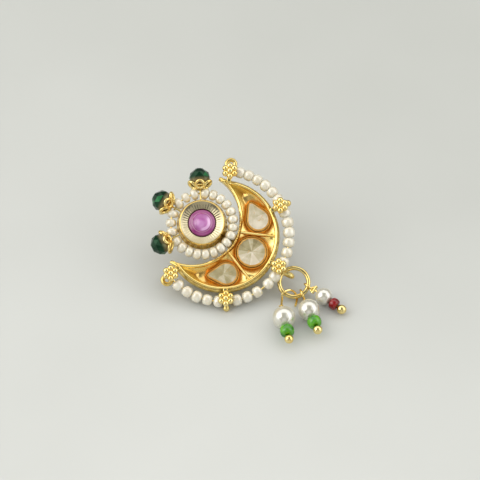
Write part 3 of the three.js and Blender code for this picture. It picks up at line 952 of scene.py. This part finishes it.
def lug(angle, end):
    shapes = [rounded_box(*LUG_BOX, LUG_EDGE)]
    if end == "nub":
        shapes += [rounded_box(*NUB_BOX, NUB_EDGE), moved(ball(NUB_BALL), *NUB_AT)]
    if end == "eye":
        eye = spun(turned(EYE_PROFILE, LOOP_SIDES, closed=True), 90, "X")
        long_eye = placed(eye, Matrix.Diagonal((EYE_STRETCH, 1, 1, 1)))
        shapes.append(moved(long_eye, EYE_AT + (EYE_STRETCH - 1), 0, EYE_HEIGHT))
    if end == "loop":
        loop = tube(circle_path(LOOP_RADIUS, LOOP_SIDES), LOOP_WIRE, closed=True)
        shapes.append(moved(loop, *LOOP_AT[angle]))
    return [spun(shape, angle) for shape in shapes]


tray_shapes.append(rounded_box(*STRAP_BOX, STRAP_EDGE))
for lug_angle, lug_end in LUG_ENDS:
    tray_shapes += lug(lug_angle, lug_end)
make("crescent_tray", tray_shapes, FACE, tray_gold, "gold", "crescent_setting")

# %% [markdown]
# ## Lips round the stones
# A thin lip of gold holds each stone, painted a deeper orange for the shade it lies in. It could be bent
# from wire, but one section carried round the stone's own outline fits any shape of stone.

# %% Lips round the stones
LIP_SECTION = [(0.0, 0.0), (0.26, 0.0), (0.28, 0.42), (0.2, 0.5), (0.1, 0.48)]  # outwards, up


def lip(outline):
    return swept([(*p, FLOOR_HEIGHT) for p in outline], LIP_SECTION, closed=True, up=UP)


make("stone_lips", [lip(outline) for outline in outlines.values()], FACE, amber_gold, "gold")

# %% [markdown]
# ## Cut stones
# Each stone has a girdle, sloping facets and a table. From above, such a table shows the facets behind it
# as rays, so it is made of rays that tilt very slightly, each with a painted brightness for its reflection.
# This is quicker than light traced through clear stone.

# %% Round and pear stones
STONE_BOTTOM = 0.56
GIRDLE_LOW = 0.98
GIRDLE_HIGH = 1.13
TABLE_HEIGHT = 1.55
RAY_TILT = 0.05
EDGE_WIDTH = 0.27
PEAR_MIDDLE = PEAR_REACH - 0.5


def cut_stone(outline, centre, rays):
    """A stone whose table has facets of so many rays each, tilted in turn."""
    size = len(outline)
    inner = [p + (centre - p).normalized() * EDGE_WIDTH for p in outline]
    rows = [(inner, STONE_BOTTOM), (outline, GIRDLE_LOW), (outline, GIRDLE_HIGH)]
    points = [(*p, height) for row, height in rows for p in row]
    points += [(*p, TABLE_HEIGHT - RAY_TILT * (k // rays % 2)) for k, p in enumerate(inner)]
    points.append((*centre, TABLE_HEIGHT))
    table = [(3 * size + k, 3 * size + (k + 1) % size, 4 * size) for k in range(size)]
    return points, [tuple(range(size - 1, -1, -1)), *bands(4, size), *table]


def dress_stone(name, outline, centre, node, seed, reflection_range, rays=1):
    mesh = mesh_of(name, [cut_stone(outline, centre, rays)], FACE)
    brightness = random.Random(seed)
    size = len(outline)
    # painted reflection: a brightness for each ray of the table, drawn from the given range
    table = [brightness.uniform(*reflection_range) for _ in range(size)]
    keep_facets(mesh, [0.0] * (len(mesh.polygons) - size) + [table[k // rays] for k in range(size)])
    dress(name, mesh, pale_stone, "pale_stone", node, crease=1)


upper_middle = PEAR_TIP + pear_turn @ Vector((PEAR_MIDDLE, 0))
lower_middle = Vector((upper_middle.x, -upper_middle.y))
dress_stone("stone_round", round_outline(), Vector((ROUND_X, 0)), "round_stone", 55788, (0.12, 1.15))
dress_stone("stone_pear_upper", outlines["upper"], upper_middle, "pear_stone_upper", 5, (0.65, 1.0), rays=4)
dress_stone("stone_pear_lower", outlines["lower"], lower_middle, "pear_stone_lower", 8, (0.36, 0.68), rays=4)

# %% [markdown]
# ## Rosettes
# Each rosette is six granules of gold round a seventh. A tree sets balls on a circle, adds the middle one,
# and puts the whole on each lug, so one change alters all five.

# %% Rosettes of granules
ROSETTE_AT = (10.7, 0, 2.44)


def rosette_tree():
    tree = Grower("rosette", {"Granule": 0.53, "Ring": 0.85, "Rise": 0.16, "Petals": 6})
    granule = tree.ball(16, 10, tree.size("Granule"))
    ring = tree.ring(tree.size("Petals"), tree.size("Ring"))
    middle = tree.changed(granule, Translation=tree.vector(z=tree.size("Rise")))
    rosette = tree.node("GeometryNodeJoinGeometry", {"Geometry": [tree.set_on(ring, granule), middle]})
    tree.end(tree.set_on(tree.given, rosette), polished_gold)
    return tree


lug_points = [spun(([ROSETTE_AT], []), angle)[0][0] for angle, _ in LUG_ENDS]
dress("rosettes", rosette_tree().grow(lug_points, [], FACE), polished_gold, "gold")

# %% [markdown]
# ## Strings of seed pearls
# Seed pearls on a wire are never quite alike. A tree turns a run of points into a curve and sets a pearl on
# every point, along the curve. A pearl is a ball made squarer, and random sizes and noise make each one
# different.

# %% A tree for seed pearls
PEARL_SIZES = {"Radius": 0.95, "Length": 1.5, "Barrel": 0.76, "Unevenness": 0.2, "Seed": 1}
SMALLEST = (0.95, 0.95, 0.95)
LARGEST = (1.04, 1.04, 1.06)
SKIN_NOISE = 0.9
POLE_ROOM = 1e-4


def seed_pearl_tree():
    tree = Grower("seed pearls", PEARL_SIZES)
    radius, barrel = tree.size("Radius"), tree.size("Barrel")
    sphere = tree.ball(20, 14, 1.0)
    z = tree.part(tree.node("GeometryNodeInputPosition"), "Z")
    spread = (1 - z ** 2).at_least(POLE_ROOM) ** (0.5 * (barrel - 1))
    corner = tree.vector(z.out("X") * spread, z.out("Y") * spread, z.sign() * abs(z) ** barrel)
    squarer = tree.node("GeometryNodeSetPosition", {"Geometry": sphere, "Position": corner})
    pearl = tree.changed(squarer, Scale=tree.vector(radius, radius, tree.size("Length") * 0.5))
    thread = tree.node("GeometryNodeMeshToCurve", {"Mesh": tree.given})
    places = tree.node("GeometryNodeCurveToPoints", {"Curve": thread}, mode="EVALUATED")
    range_sockets = {0: SMALLEST, 1: LARGEST, "Seed": tree.size("Seed")}
    sizes = tree.node("FunctionNodeRandomValue", range_sockets, data_type="FLOAT_VECTOR")
    strung = tree.set_on(places, pearl, Rotation=places.out("Rotation"), Scale=sizes)
    solid = tree.node("GeometryNodeRealizeInstances", {"Geometry": strung})
    skin = tree.node("ShaderNodeTexNoise", {"Scale": SKIN_NOISE, "Detail": 1.0})
    swell = {0: tree.node("GeometryNodeInputNormal"), "Scale": (skin - 0.5) * tree.size("Unevenness")}
    swollen = tree.node("ShaderNodeVectorMath", swell, operation="SCALE")
    tree.end(tree.node("GeometryNodeSetPosition", {"Geometry": solid, "Offset": swollen}), seed_pearl)
    return tree


pearl_tree = seed_pearl_tree()
print("the pearl tree's sizes:", list(pearl_tree.sizes))

# %% [markdown]
# ## Where the pearls go
# The flower's ring has gaps for the capped beads, and the two edge strings have gaps at the lugs. A run is
# the angles of its first and last pearl and a count, because a real string is counted and then spread.

# %% Seed pearls
PearlRow = namedtuple("PearlRow", "ring height radius length centre")
FLOWER_PEARLS = PearlRow(5.13, 1.25, 0.93, 15.1, FLOWER_MIDDLE.x)
EDGE_PEARLS = PearlRow(10.99, 1.0, 0.97, 8.8, 0)
FLOWER_RUNS = [(134.2, 168.8, 3), (191.2, 225.8, 3), (245.7, 474.3, 16)]  # first, last, count
UPPER_RUNS = [(6.3, 50.6, 6), (63.4, 104.9, 6)]
LOWER_RUNS = [(-101.2, -63.6, 5), (-47.6, -28.7, 3), (-16.8, -8.5, 2)]


def arc_points(start, end, count, kind):
    degrees = [start + (end - start) * k / (count - 1) for k in range(count)]
    places = [polar(kind.ring, radians(angle)) for angle in degrees]
    return [(kind.centre + x, y, kind.height) for x, y in places]


def dress_pearls(name, runs, kind, node, seed):
    points, edges = [], []
    for start, end, count in runs:
        edges += [(len(points) + k, len(points) + k + 1) for k in range(count - 1)]
        points += arc_points(start, end, count, kind)
    length = kind.ring * radians(kind.length)
    mesh = pearl_tree.grow(points, edges, FACE, Radius=kind.radius, Length=length, Seed=seed)
    dress(name, mesh, seed_pearl, "seed_pearl", node)


dress_pearls("flower_pearls", FLOWER_RUNS, FLOWER_PEARLS, "flower_pearl_ring", 4)
dress_pearls("edge_pearls_upper", UPPER_RUNS, EDGE_PEARLS, "pearl_string_upper", 7)
dress_pearls("edge_pearls_lower", LOWER_RUNS, EDGE_PEARLS, "pearl_string_lower", 9)

# %% [markdown]
# ## The wires through the pearls
# A fine wire goes through every pearl and shows in the gaps. It follows the pearls' own circles, so it
# needs no path of its own.

# %% The wires through the pearls
STRING_WIRE = 0.15
WIRE_SIDES = 8
WIRE_STEP = 2.0
EDGE_WIRES = [(0.4, 116.5), (-115.7, -0.4)]


def arc_wire(start, end, kind):
    count = int((end - start) / WIRE_STEP) + 1
    return tube(arc_points(start, end, count, kind), STRING_WIRE, WIRE_SIDES)


wire_centre = (FLOWER_PEARLS.centre, 0, FLOWER_PEARLS.height)
flower_ring = circle_path(FLOWER_PEARLS.ring, steps=120, centre=wire_centre)
string_wires = [arc_wire(start, end, EDGE_PEARLS) for start, end in EDGE_WIRES]
string_wires.append(tube(flower_ring, STRING_WIRE, WIRE_SIDES, closed=True))
make("pearl_wires", string_wires, FACE, polished_gold, "gold")

# %% [markdown]
# ## The flower's middle
# A conical band carries a dish with bright cuts, and a pink cabochon sits in it. Grooves could be cut, but
# a dish of many sides with every second corner raised takes the light in the same way with far fewer faces.

# %% Bezel and cabochon
BEZEL_PROFILE = [(0, 0.16), (4.05, 0.16), (4.15, 0.26), (4.17, 0.55), (4.15, 0.95), (4.0, 1.25), (3.88, 1.7),
                 (3.78, 2.3), (3.74, 2.45), (3.67, 2.56), (3.58, 2.6), (3.48, 2.57)]
DISH_PROFILE = [(3.42, 2.52), (3.0, 2.36), (2.6, 2.2), (2.38, 2.1)]
SEAT_PROFILE = [(2.34, 2.0), (2.32, 1.6), (0, 1.6)]
BEZEL_SIDES = 92
FLUTE_DEPTH = 0.032
FLUTE_CREASE = 10
PINK_PROFILE = [(0, 1.66), (2.2, 1.66), (2.24, 1.75), (2.24, 2.0), (2.2, 2.16), (2.1, 2.28), (1.96, 2.34),
                (1.82, 2.36), (1.7, 2.42), (1.52, 2.58), (1.28, 2.76), (1.0, 2.92), (0.68, 3.05),
                (0.34, 3.13), (0, 3.16)]


def bezel():
    points, faces = turned(BEZEL_PROFILE + DISH_PROFILE + SEAT_PROFILE, BEZEL_SIDES)
    first = BEZEL_SIDES * len(BEZEL_PROFILE)
    for k in range(first, first + BEZEL_SIDES * len(DISH_PROFILE)):
        x, y, height = points[k]
        points[k] = (x, y, height + FLUTE_DEPTH * ((k - first) % 2))
    return points, faces


bezel_shape = moved(bezel(), FLOWER_MIDDLE.x)
pink_shape = moved(turned(PINK_PROFILE, sides=64), FLOWER_MIDDLE.x)
make("bright_cut_bezel", [bezel_shape], FACE, bright_cut_gold, "bright_cut_gold", "flower_bezel",
     crease=FLUTE_CREASE)
make("pink_cabochon", [pink_shape], FACE, pink_glass, "pink_glass", "pink_stone")

# %% [markdown]
# ## Bead caps
# Three beads stand out from the flower, each on a wire and seated in a cap of open petals. A tree bends a
# hoop of wire into a petal, leans it and sets six round the hub. Hub and wire are turned and swept, and the
# two meshes are joined.

# %% Bead caps
SPOKES = [123, 180, 237]
SPOKE_WIRE = 0.17
SPOKE_ENDS = [(0, 0, 4.04), (0, 0, 8.6)]
CAP_PETALS_AT = (0, 0, 6.36)
HUB_PROFILE = [(0, 6.1), (0.45, 6.1), (0.62, 6.16), (0.85, 6.26), (0.98, 6.36), (0.96, 6.44), (0.6, 6.46),
               (0, 6.46)]
PETAL_SIZES = {"Reach": 0.8, "Width": 0.64, "Wire": 0.26, "Out": 1.38, "Lean": 42.0, "Petals": 6}


def cap_petal_tree():
    tree = Grower("cap petals", PETAL_SIZES)
    hoop = tree.hoop(20, 1.0)
    long_hoop = tree.changed(hoop, Scale=tree.vector(tree.size("Reach"), tree.size("Width"), 1.0))
    leaning = tree.changed(long_hoop, Rotation=tree.vector(y=tree.size("Lean") * (-pi / 180)))
    wire = tree.hoop(10, tree.size("Wire"))
    petal = tree.node("GeometryNodeCurveToMesh", {"Curve": leaning, "Profile Curve": wire})
    ring = tree.ring(tree.size("Petals"), tree.size("Out"))
    outward = {"Vector": tree.node("GeometryNodeInputPosition")}
    facing = tree.node("FunctionNodeAlignRotationToVector", outward, axis="X")
    tree.end(tree.set_on(tree.given, tree.set_on(ring, petal, Rotation=facing)), polished_gold)
    return tree


def spoke_matrix(degrees):
    """Lays what stands along +Z out from the flower along a spoke."""
    out = Matrix.Rotation(radians(degrees), 4, "Z") @ Matrix.Rotation(pi / 2, 4, "Y")
    return FACE @ Matrix.Translation(FLOWER_MIDDLE) @ out


def joined(name, first, second):
    """Two meshes as one."""
    bm = bmesh.new()
    bm.from_mesh(first)
    bm.from_mesh(second)
    mesh = bpy.data.meshes.new(name)
    bm.to_mesh(mesh)
    bm.free()
    return mesh


petal_tree = cap_petal_tree()
hub_shapes = [turned(HUB_PROFILE, sides=24), tube(SPOKE_ENDS, SPOKE_WIRE, sides=10)]
for number, spoke in enumerate(SPOKES, 1):
    petal_mesh = petal_tree.grow([CAP_PETALS_AT], [], spoke_matrix(spoke))
    cap_mesh = joined("cap", mesh_of("hub", hub_shapes, spoke_matrix(spoke)), petal_mesh)
    dress(f"petal_cap_{number}", cap_mesh, polished_gold, "gold", f"bead_cap_{number}")

# %% [markdown]
# ## Faceted beads
# The beads in the caps are dark green and cut all over. Rows of corners, each half a side round from the
# row below, give three-sided facets without any cutting. A seeded draw picks the few facets that get a
# painted green glint.

# %% Faceted green beads
BEAD_SIDES = 9
BEAD_ROWS = [(0.9, 6.6), (1.6, 7.0), (1.8, 7.75), (1.52, 8.5), (0.62, 9.2)]  # radius, height


def faceted(rows, sides):
    points, faces = [], []
    for i, (radius, height) in enumerate(rows):
        points += [(x, y, height) for x, y in around(radius, sides, 0.5 * (i % 2))]
    for index, (a, b, c, d) in enumerate(bands(len(rows), sides)):
        if index // sides % 2:
            faces += [(a, c, d), (a, b, c)]
        else:
            faces += [(a, b, d), (b, c, d)]
    return points, faces + end_faces(len(rows), sides)


for number, spoke in enumerate(SPOKES, 1):
    bead_mesh = mesh_of("bead", [faceted(BEAD_ROWS, BEAD_SIDES)], spoke_matrix(spoke))
    # painted glints: a seeded brightness for each facet
    brightness = random.Random(number)
    keep_facets(bead_mesh, [brightness.random() for _ in bead_mesh.polygons])
    dress(f"faceted_bead_{number}", bead_mesh, dark_green_glass, "dark_green_glass", f"green_bead_{number}",
          crease=1)

# %% [markdown]
# ## Jump ring
# The jump ring is a round of wire through the middle lug's eye. Its cut doesn't show, so a closed tube does
# for it.

# %% Jump ring
ring_path = circle_path(RING_RADIUS, steps=72, centre=ring_centre)
ring_shape = tube(ring_path, RING_WIRE, sides=16, closed=True)
make("jump_ring_wire", [ring_shape], FACE, polished_gold, "gold", "jump_ring")

# %% [markdown]
# ## Where the drops lie
# Three drops hang from the jump ring and lie on the table. A simulation could let them fall, but a list
# of their places and sizes lays them the same way each time.

# %% Where the drops lie
Drop = namedtuple("Drop", "ring_angle at heading dip pearl bead length ball eye legs bar thick gap")
DROPS = {
    "a": Drop(236, (10.07, -13.87), -79.9, 0, 1.9, 1.2, 1.87, 0.76, None, (), 0.37, 0.2, 0.5),
    "b": Drop(305.5, (14.19, -12.18), -71.6, 0, 1.8, 1.2, 1.8, 0.77, 0.82, (0,), 0.3, 0.2, 0.25),
    "c": Drop(343.5, (16.67, -9.05), -39.2, 7, 1.43, 1.0, 1.5, 0.8, 0.78, (-1, 1), 0.72, 0.26, 0.55),
}
print("the drops meet the ring at:", {letter: drop.ring_angle for letter, drop in DROPS.items()})

# %% [markdown]
# ## Eyes of the drops
# Each drop is a pin with an eye round the jump ring. Two eyes are closed rounds with legs, set where they
# meet the ring. The third is an open hook, which no single ring could stand for, so it is a smooth curve
# through a few points.

# %% Eyes of the drops
OPEN_EYE = [  # across, up, lift
    (-1.95, -2.5, 0.5), (-1.9, -1.95, 0.6), (-1.5, -1.5, 0.55), (-0.75, -1.25, 0.2), (-0.1, -1.45, -0.3),
    (0.35, -2.0, -0.6), (0.5, -2.7, -0.4), (0.4, -3.3, 0.3), (0.22, -3.9, 0.9),
]
LIFT_SEEN = 0.17  # how much of a lift, and of a height on the face, the viewer sees
HEIGHT_SEEN = 0.985
DROP_WIRE = 0.19
DROP_SIDES = 10
DROP_SLACK = 0.12
LEG_START = 0.2
LEG_SPREAD = (0.3, 0.75)

to_table = TABLE.inverted() @ FACE
unturned = Matrix.Rotation(-FACE_TURN, 3, "Z")


def drop_wire(path, closed=False):
    return tube(path, DROP_WIRE, DROP_SIDES, closed)


def on_jump_ring(degrees):
    """A point on the jump ring and the ring's direction there, on the table."""
    angle = radians(degrees) - FACE_TURN
    point = ring_centre + Vector((*polar(RING_RADIUS, angle), 0))
    along = Vector((-sin(angle), cos(angle), 0))
    return to_table @ point, (to_table.to_3x3() @ along).normalized()


def facing_along(axis, place):
    return Matrix.Translation(place) @ axis.to_track_quat("Z", "Y").to_matrix().to_4x4()


def beside_ring(across, up, lift):
    """A point given as the viewer sees it from the jump ring's middle, and its lift off the ring's plane."""
    seen = Vector((across, (up - LIFT_SEEN * lift) / HEIGHT_SEEN, lift))
    return to_table @ (ring_centre + unturned @ seen)


def round_eye(drop, axis, aside, foot):
    """A closed eye round the ring's wire, with one leg to the foot, or two when it is forked."""
    ring_point, ring_along = on_jump_ring(drop.ring_angle)
    eye_at = ring_point + axis * DROP_SLACK
    normal = (ring_along - axis * ring_along.dot(axis)).normalized()
    eye = placed(drop_wire(circle_path(drop.eye, steps=40), closed=True), facing_along(normal, eye_at))
    end = eye_at + axis * (drop.eye - LEG_START)
    near, far = LEG_SPREAD
    return [eye, *(drop_wire([end + aside * k * near, foot + aside * k * far]) for k in drop.legs)]


def open_eye(foot):
    """A loop that comes up in front of the ring, turns inside it and ends in a loose tail behind it."""
    loop = [beside_ring(*point) for point in OPEN_EYE]
    return [drop_wire(smooth_path([foot, *loop], steps=8))]


print("points of the open hook:", len(OPEN_EYE))

# %% [markdown]
# ## Pins, pearls and beads of the drops
# Below its eye a pin has a short bar, which stands for the turns of wire there, and it ends in a ball.
# Pearl and bead are turned with a hole, because a whole ball would be cut through by the pin.

# %% Drops
DROP_HOLE = 0.26
DROP_GAP = 0.05
BAR_SHARES = (-1, -0.9, 0.9, 1)
PEARL_ROWS = 16
BEAD_SWELL = [  # shares of the radius and of half the length
    (0.3, -1), (0.55, -0.99), (0.72, -0.92), (0.88, -0.74), (0.97, -0.42), (1, 0), (0.97, 0.42),
    (0.88, 0.74), (0.72, 0.92), (0.55, 0.99), (0.3, 1),
]
DROP_GLASS = {"a": (leaf_green_glass, "leaf_green_glass"), "b": (leaf_green_glass, "leaf_green_glass"),
              "c": (red_glass, "red_glass")}


def drop_axis(drop):
    fall = radians(drop.dip)
    return Vector((*polar(cos(fall), radians(drop.heading)), -sin(fall)))


def drop_pin(drop, axis, pearl_at):
    aside = axis.cross(to_camera).normalized() * drop.bar
    ball_at = pearl_at + axis * (drop.pearl + drop.length + drop.ball + DROP_GAP)
    foot = pearl_at - axis * (drop.pearl + drop.gap)
    eye = round_eye(drop, axis, aside, foot) if drop.legs else open_eye(foot)
    bar = tube([foot + aside * share for share in BAR_SHARES], drop.thick, sides=14)
    end_ball = placed(ball(drop.ball, sides=28, rings=18), facing_along(axis, ball_at))
    return [*eye, drop_wire([foot, pearl_at, ball_at]), bar, end_ball]


def drilled_pearl(radius):
    first = acos(DROP_HOLE / radius)
    profile = [polar(radius, first * (k / PEARL_ROWS - 1)) for k in range(2 * PEARL_ROWS + 1)]
    return turned(profile, sides=48, closed=True)


def drilled_bead(radius, length):
    profile = [(radius * wide, length / 2 * share) for wide, share in BEAD_SWELL]
    return turned(profile, sides=32, closed=True)


for letter, drop in DROPS.items():
    axis = drop_axis(drop)
    pearl_at = Vector((*drop.at, drop.pearl))
    bead_at = pearl_at + axis * (drop.pearl + drop.length / 2)
    pearl = placed(drilled_pearl(drop.pearl), facing_along(axis, pearl_at))
    bead = placed(drilled_bead(drop.bead, drop.length - 2 * DROP_GAP), facing_along(axis, bead_at))
    pin = drop_pin(drop, axis, pearl_at)
    make(f"eye_pin_{letter}", pin, TABLE, polished_gold, "gold", f"drop_pin_{letter}")
    make(f"hung_pearl_{letter}", [pearl], TABLE, drop_pearl, "drop_pearl", f"drop_pearl_{letter}")
    make(f"hung_bead_{letter}", [bead], TABLE, *DROP_GLASS[letter], f"drop_bead_{letter}")

# %% [markdown]
# ## The post
# Behind the flower a plain wire post stands square on the strap and turns aside at the table. A curve
# object would have to be converted, so its bend is worked out as a few points and swept.

# %% Nose post
POST_RADIUS = 0.45
POST_BEND = 1.1
POST_FOOT = 4.6
BEND_STEPS = 16
SEAT_GAP = 0.06

strap_back = STRAP_BOX[2][0]
post_top = to_table @ Vector((FLOWER_MIDDLE.x, 0, strap_back - SEAT_GAP))
post_down = (to_table.to_3x3() @ Vector((0, 0, -1))).normalized()
post_corner = post_top + post_down * ((post_top.z - POST_RADIUS) / -post_down.z)
bend_start = post_corner - post_down * POST_BEND
bend_end = post_corner + Vector((POST_BEND, 0, 0))
handles = [end.lerp(post_corner, 2 / 3) for end in (bend_start, bend_end)]
bend = interpolate_bezier(bend_start, *handles, bend_end, BEND_STEPS + 1)
post_path = [post_top, *bend, post_corner + Vector((POST_FOOT, 0, 0))]
make("wire_post", [tube(post_path, POST_RADIUS, sides=20)], TABLE, polished_gold, "gold", "nose_post")

# %% [markdown]
# ## Floor
# A plain pale floor lies under the pin and is no part of it. One square is enough, and slow noise and a
# fade from near to far, painted light that is lighter near and darker far, keep it from looking like paper.

# %% Floor
FLOOR_HALF = 1.5
FLOOR_LEVEL = -1e-5
FLOOR_NOISE = 0.03
FLOOR_FADE = (-60, 60)
# painted light: the floor is lighter near and darker far
FAR_GREY = colour(0.46, 0.472, 0.44)
NEAR_GREY = colour(0.61, 0.622, 0.595)

floor_finish = Finish("pale floor", Roughness=0.6)
near_light = 1 - floor_finish.part(floor_finish.place, "Y").between(*FLOOR_FADE)
floor_tone = floor_finish.noise(FLOOR_NOISE) * 0.4 + near_light * 0.6
floor_finish.wire(Base_Color=floor_finish.mix(FAR_GREY, NEAR_GREY, floor_tone))
corners = [(x * FLOOR_HALF, y * FLOOR_HALF, FLOOR_LEVEL) for x, y in ((-1, -1), (1, -1), (1, 1), (-1, 1))]
floor_mesh = bpy.data.meshes.new("floor")
floor_mesh.from_pydata(corners, [], [(0, 1, 2, 3)])
floor_mesh.materials.append(floor_finish.material)
floor = linked("floor", floor_mesh)
print("the floor's width in m:", 2 * FLOOR_HALF)

# %% [markdown]
# ## Light
# Polished gold and pearls mirror what surrounds them, so the light is a bright tent, darker where the
# viewer stands, with three lamps. It is worked out from direction alone and needs no picture of a room. A
# soft lamp fills the shadows and is kept out of the mirrors.

# %% Tent and fill
LAMPS = [  # direction, strength
    ((-0.685, -0.204, 0.7), 2.0),
    ((0.685, -0.204, 0.7), 0.8),
    ((0, -0.92, 0.39), 0.5),
]
LAMP_EDGE = (0.87, 0.96)
TENT_BACK = (-0.15, 0.05)
TENT_FRONT = (0.58, 0.68)
TENT_FOOT = (0.0, 0.12)
TENT_DIM = 0.2
TENT_BRIGHT = 1.35
TENT_WHITE = colour(1.0, 0.99, 0.97)
FILL_SIZE = 0.5
FILL_ENERGY = 0.95
FILL_DISTANCE = 0.6
FILL_ASIDE = Vector((0.05, 0.15, 0.35))

world = bpy.data.worlds.new("tent")
world.use_nodes = True
bpy.context.scene.world = world
tent = Board(world.node_tree)
direction = tent.node("ShaderNodeTexCoord", out="Generated")
towards = tent.vector_maths("DOT_PRODUCT", direction, to_camera, "Value")
from_sides = towards.between(*TENT_BACK) * (1 - towards.between(*TENT_FRONT))
tent_glow = TENT_DIM + TENT_BRIGHT * (from_sides * tent.part(direction, "Z").between(*TENT_FOOT))
for lamp_at, strength in LAMPS:
    lamp = tent.vector_maths("DOT_PRODUCT", direction, lamp_at, "Value")
    tent_glow = tent_glow + strength * lamp.between(*LAMP_EDGE)
background = world.node_tree.nodes["Background"]
tent.feed(background.inputs["Strength"], tent_glow)
background.inputs["Color"].default_value = TENT_WHITE

fill = linked("fill", bpy.data.lights.new("fill", "AREA"))
fill.data.size = FILL_SIZE
fill.data.energy = FILL_ENERGY
fill.visible_glossy = False
fill.location = LOOK_AT + (to_camera + FILL_ASIDE) * FILL_DISTANCE
fill.rotation_euler = (to_camera + FILL_ASIDE).to_track_quat("Z", "Y").to_euler()
bpy.context.scene.view_settings.view_transform = "Standard"
print("lamps in the tent:", len(LAMPS))

# %% [markdown]
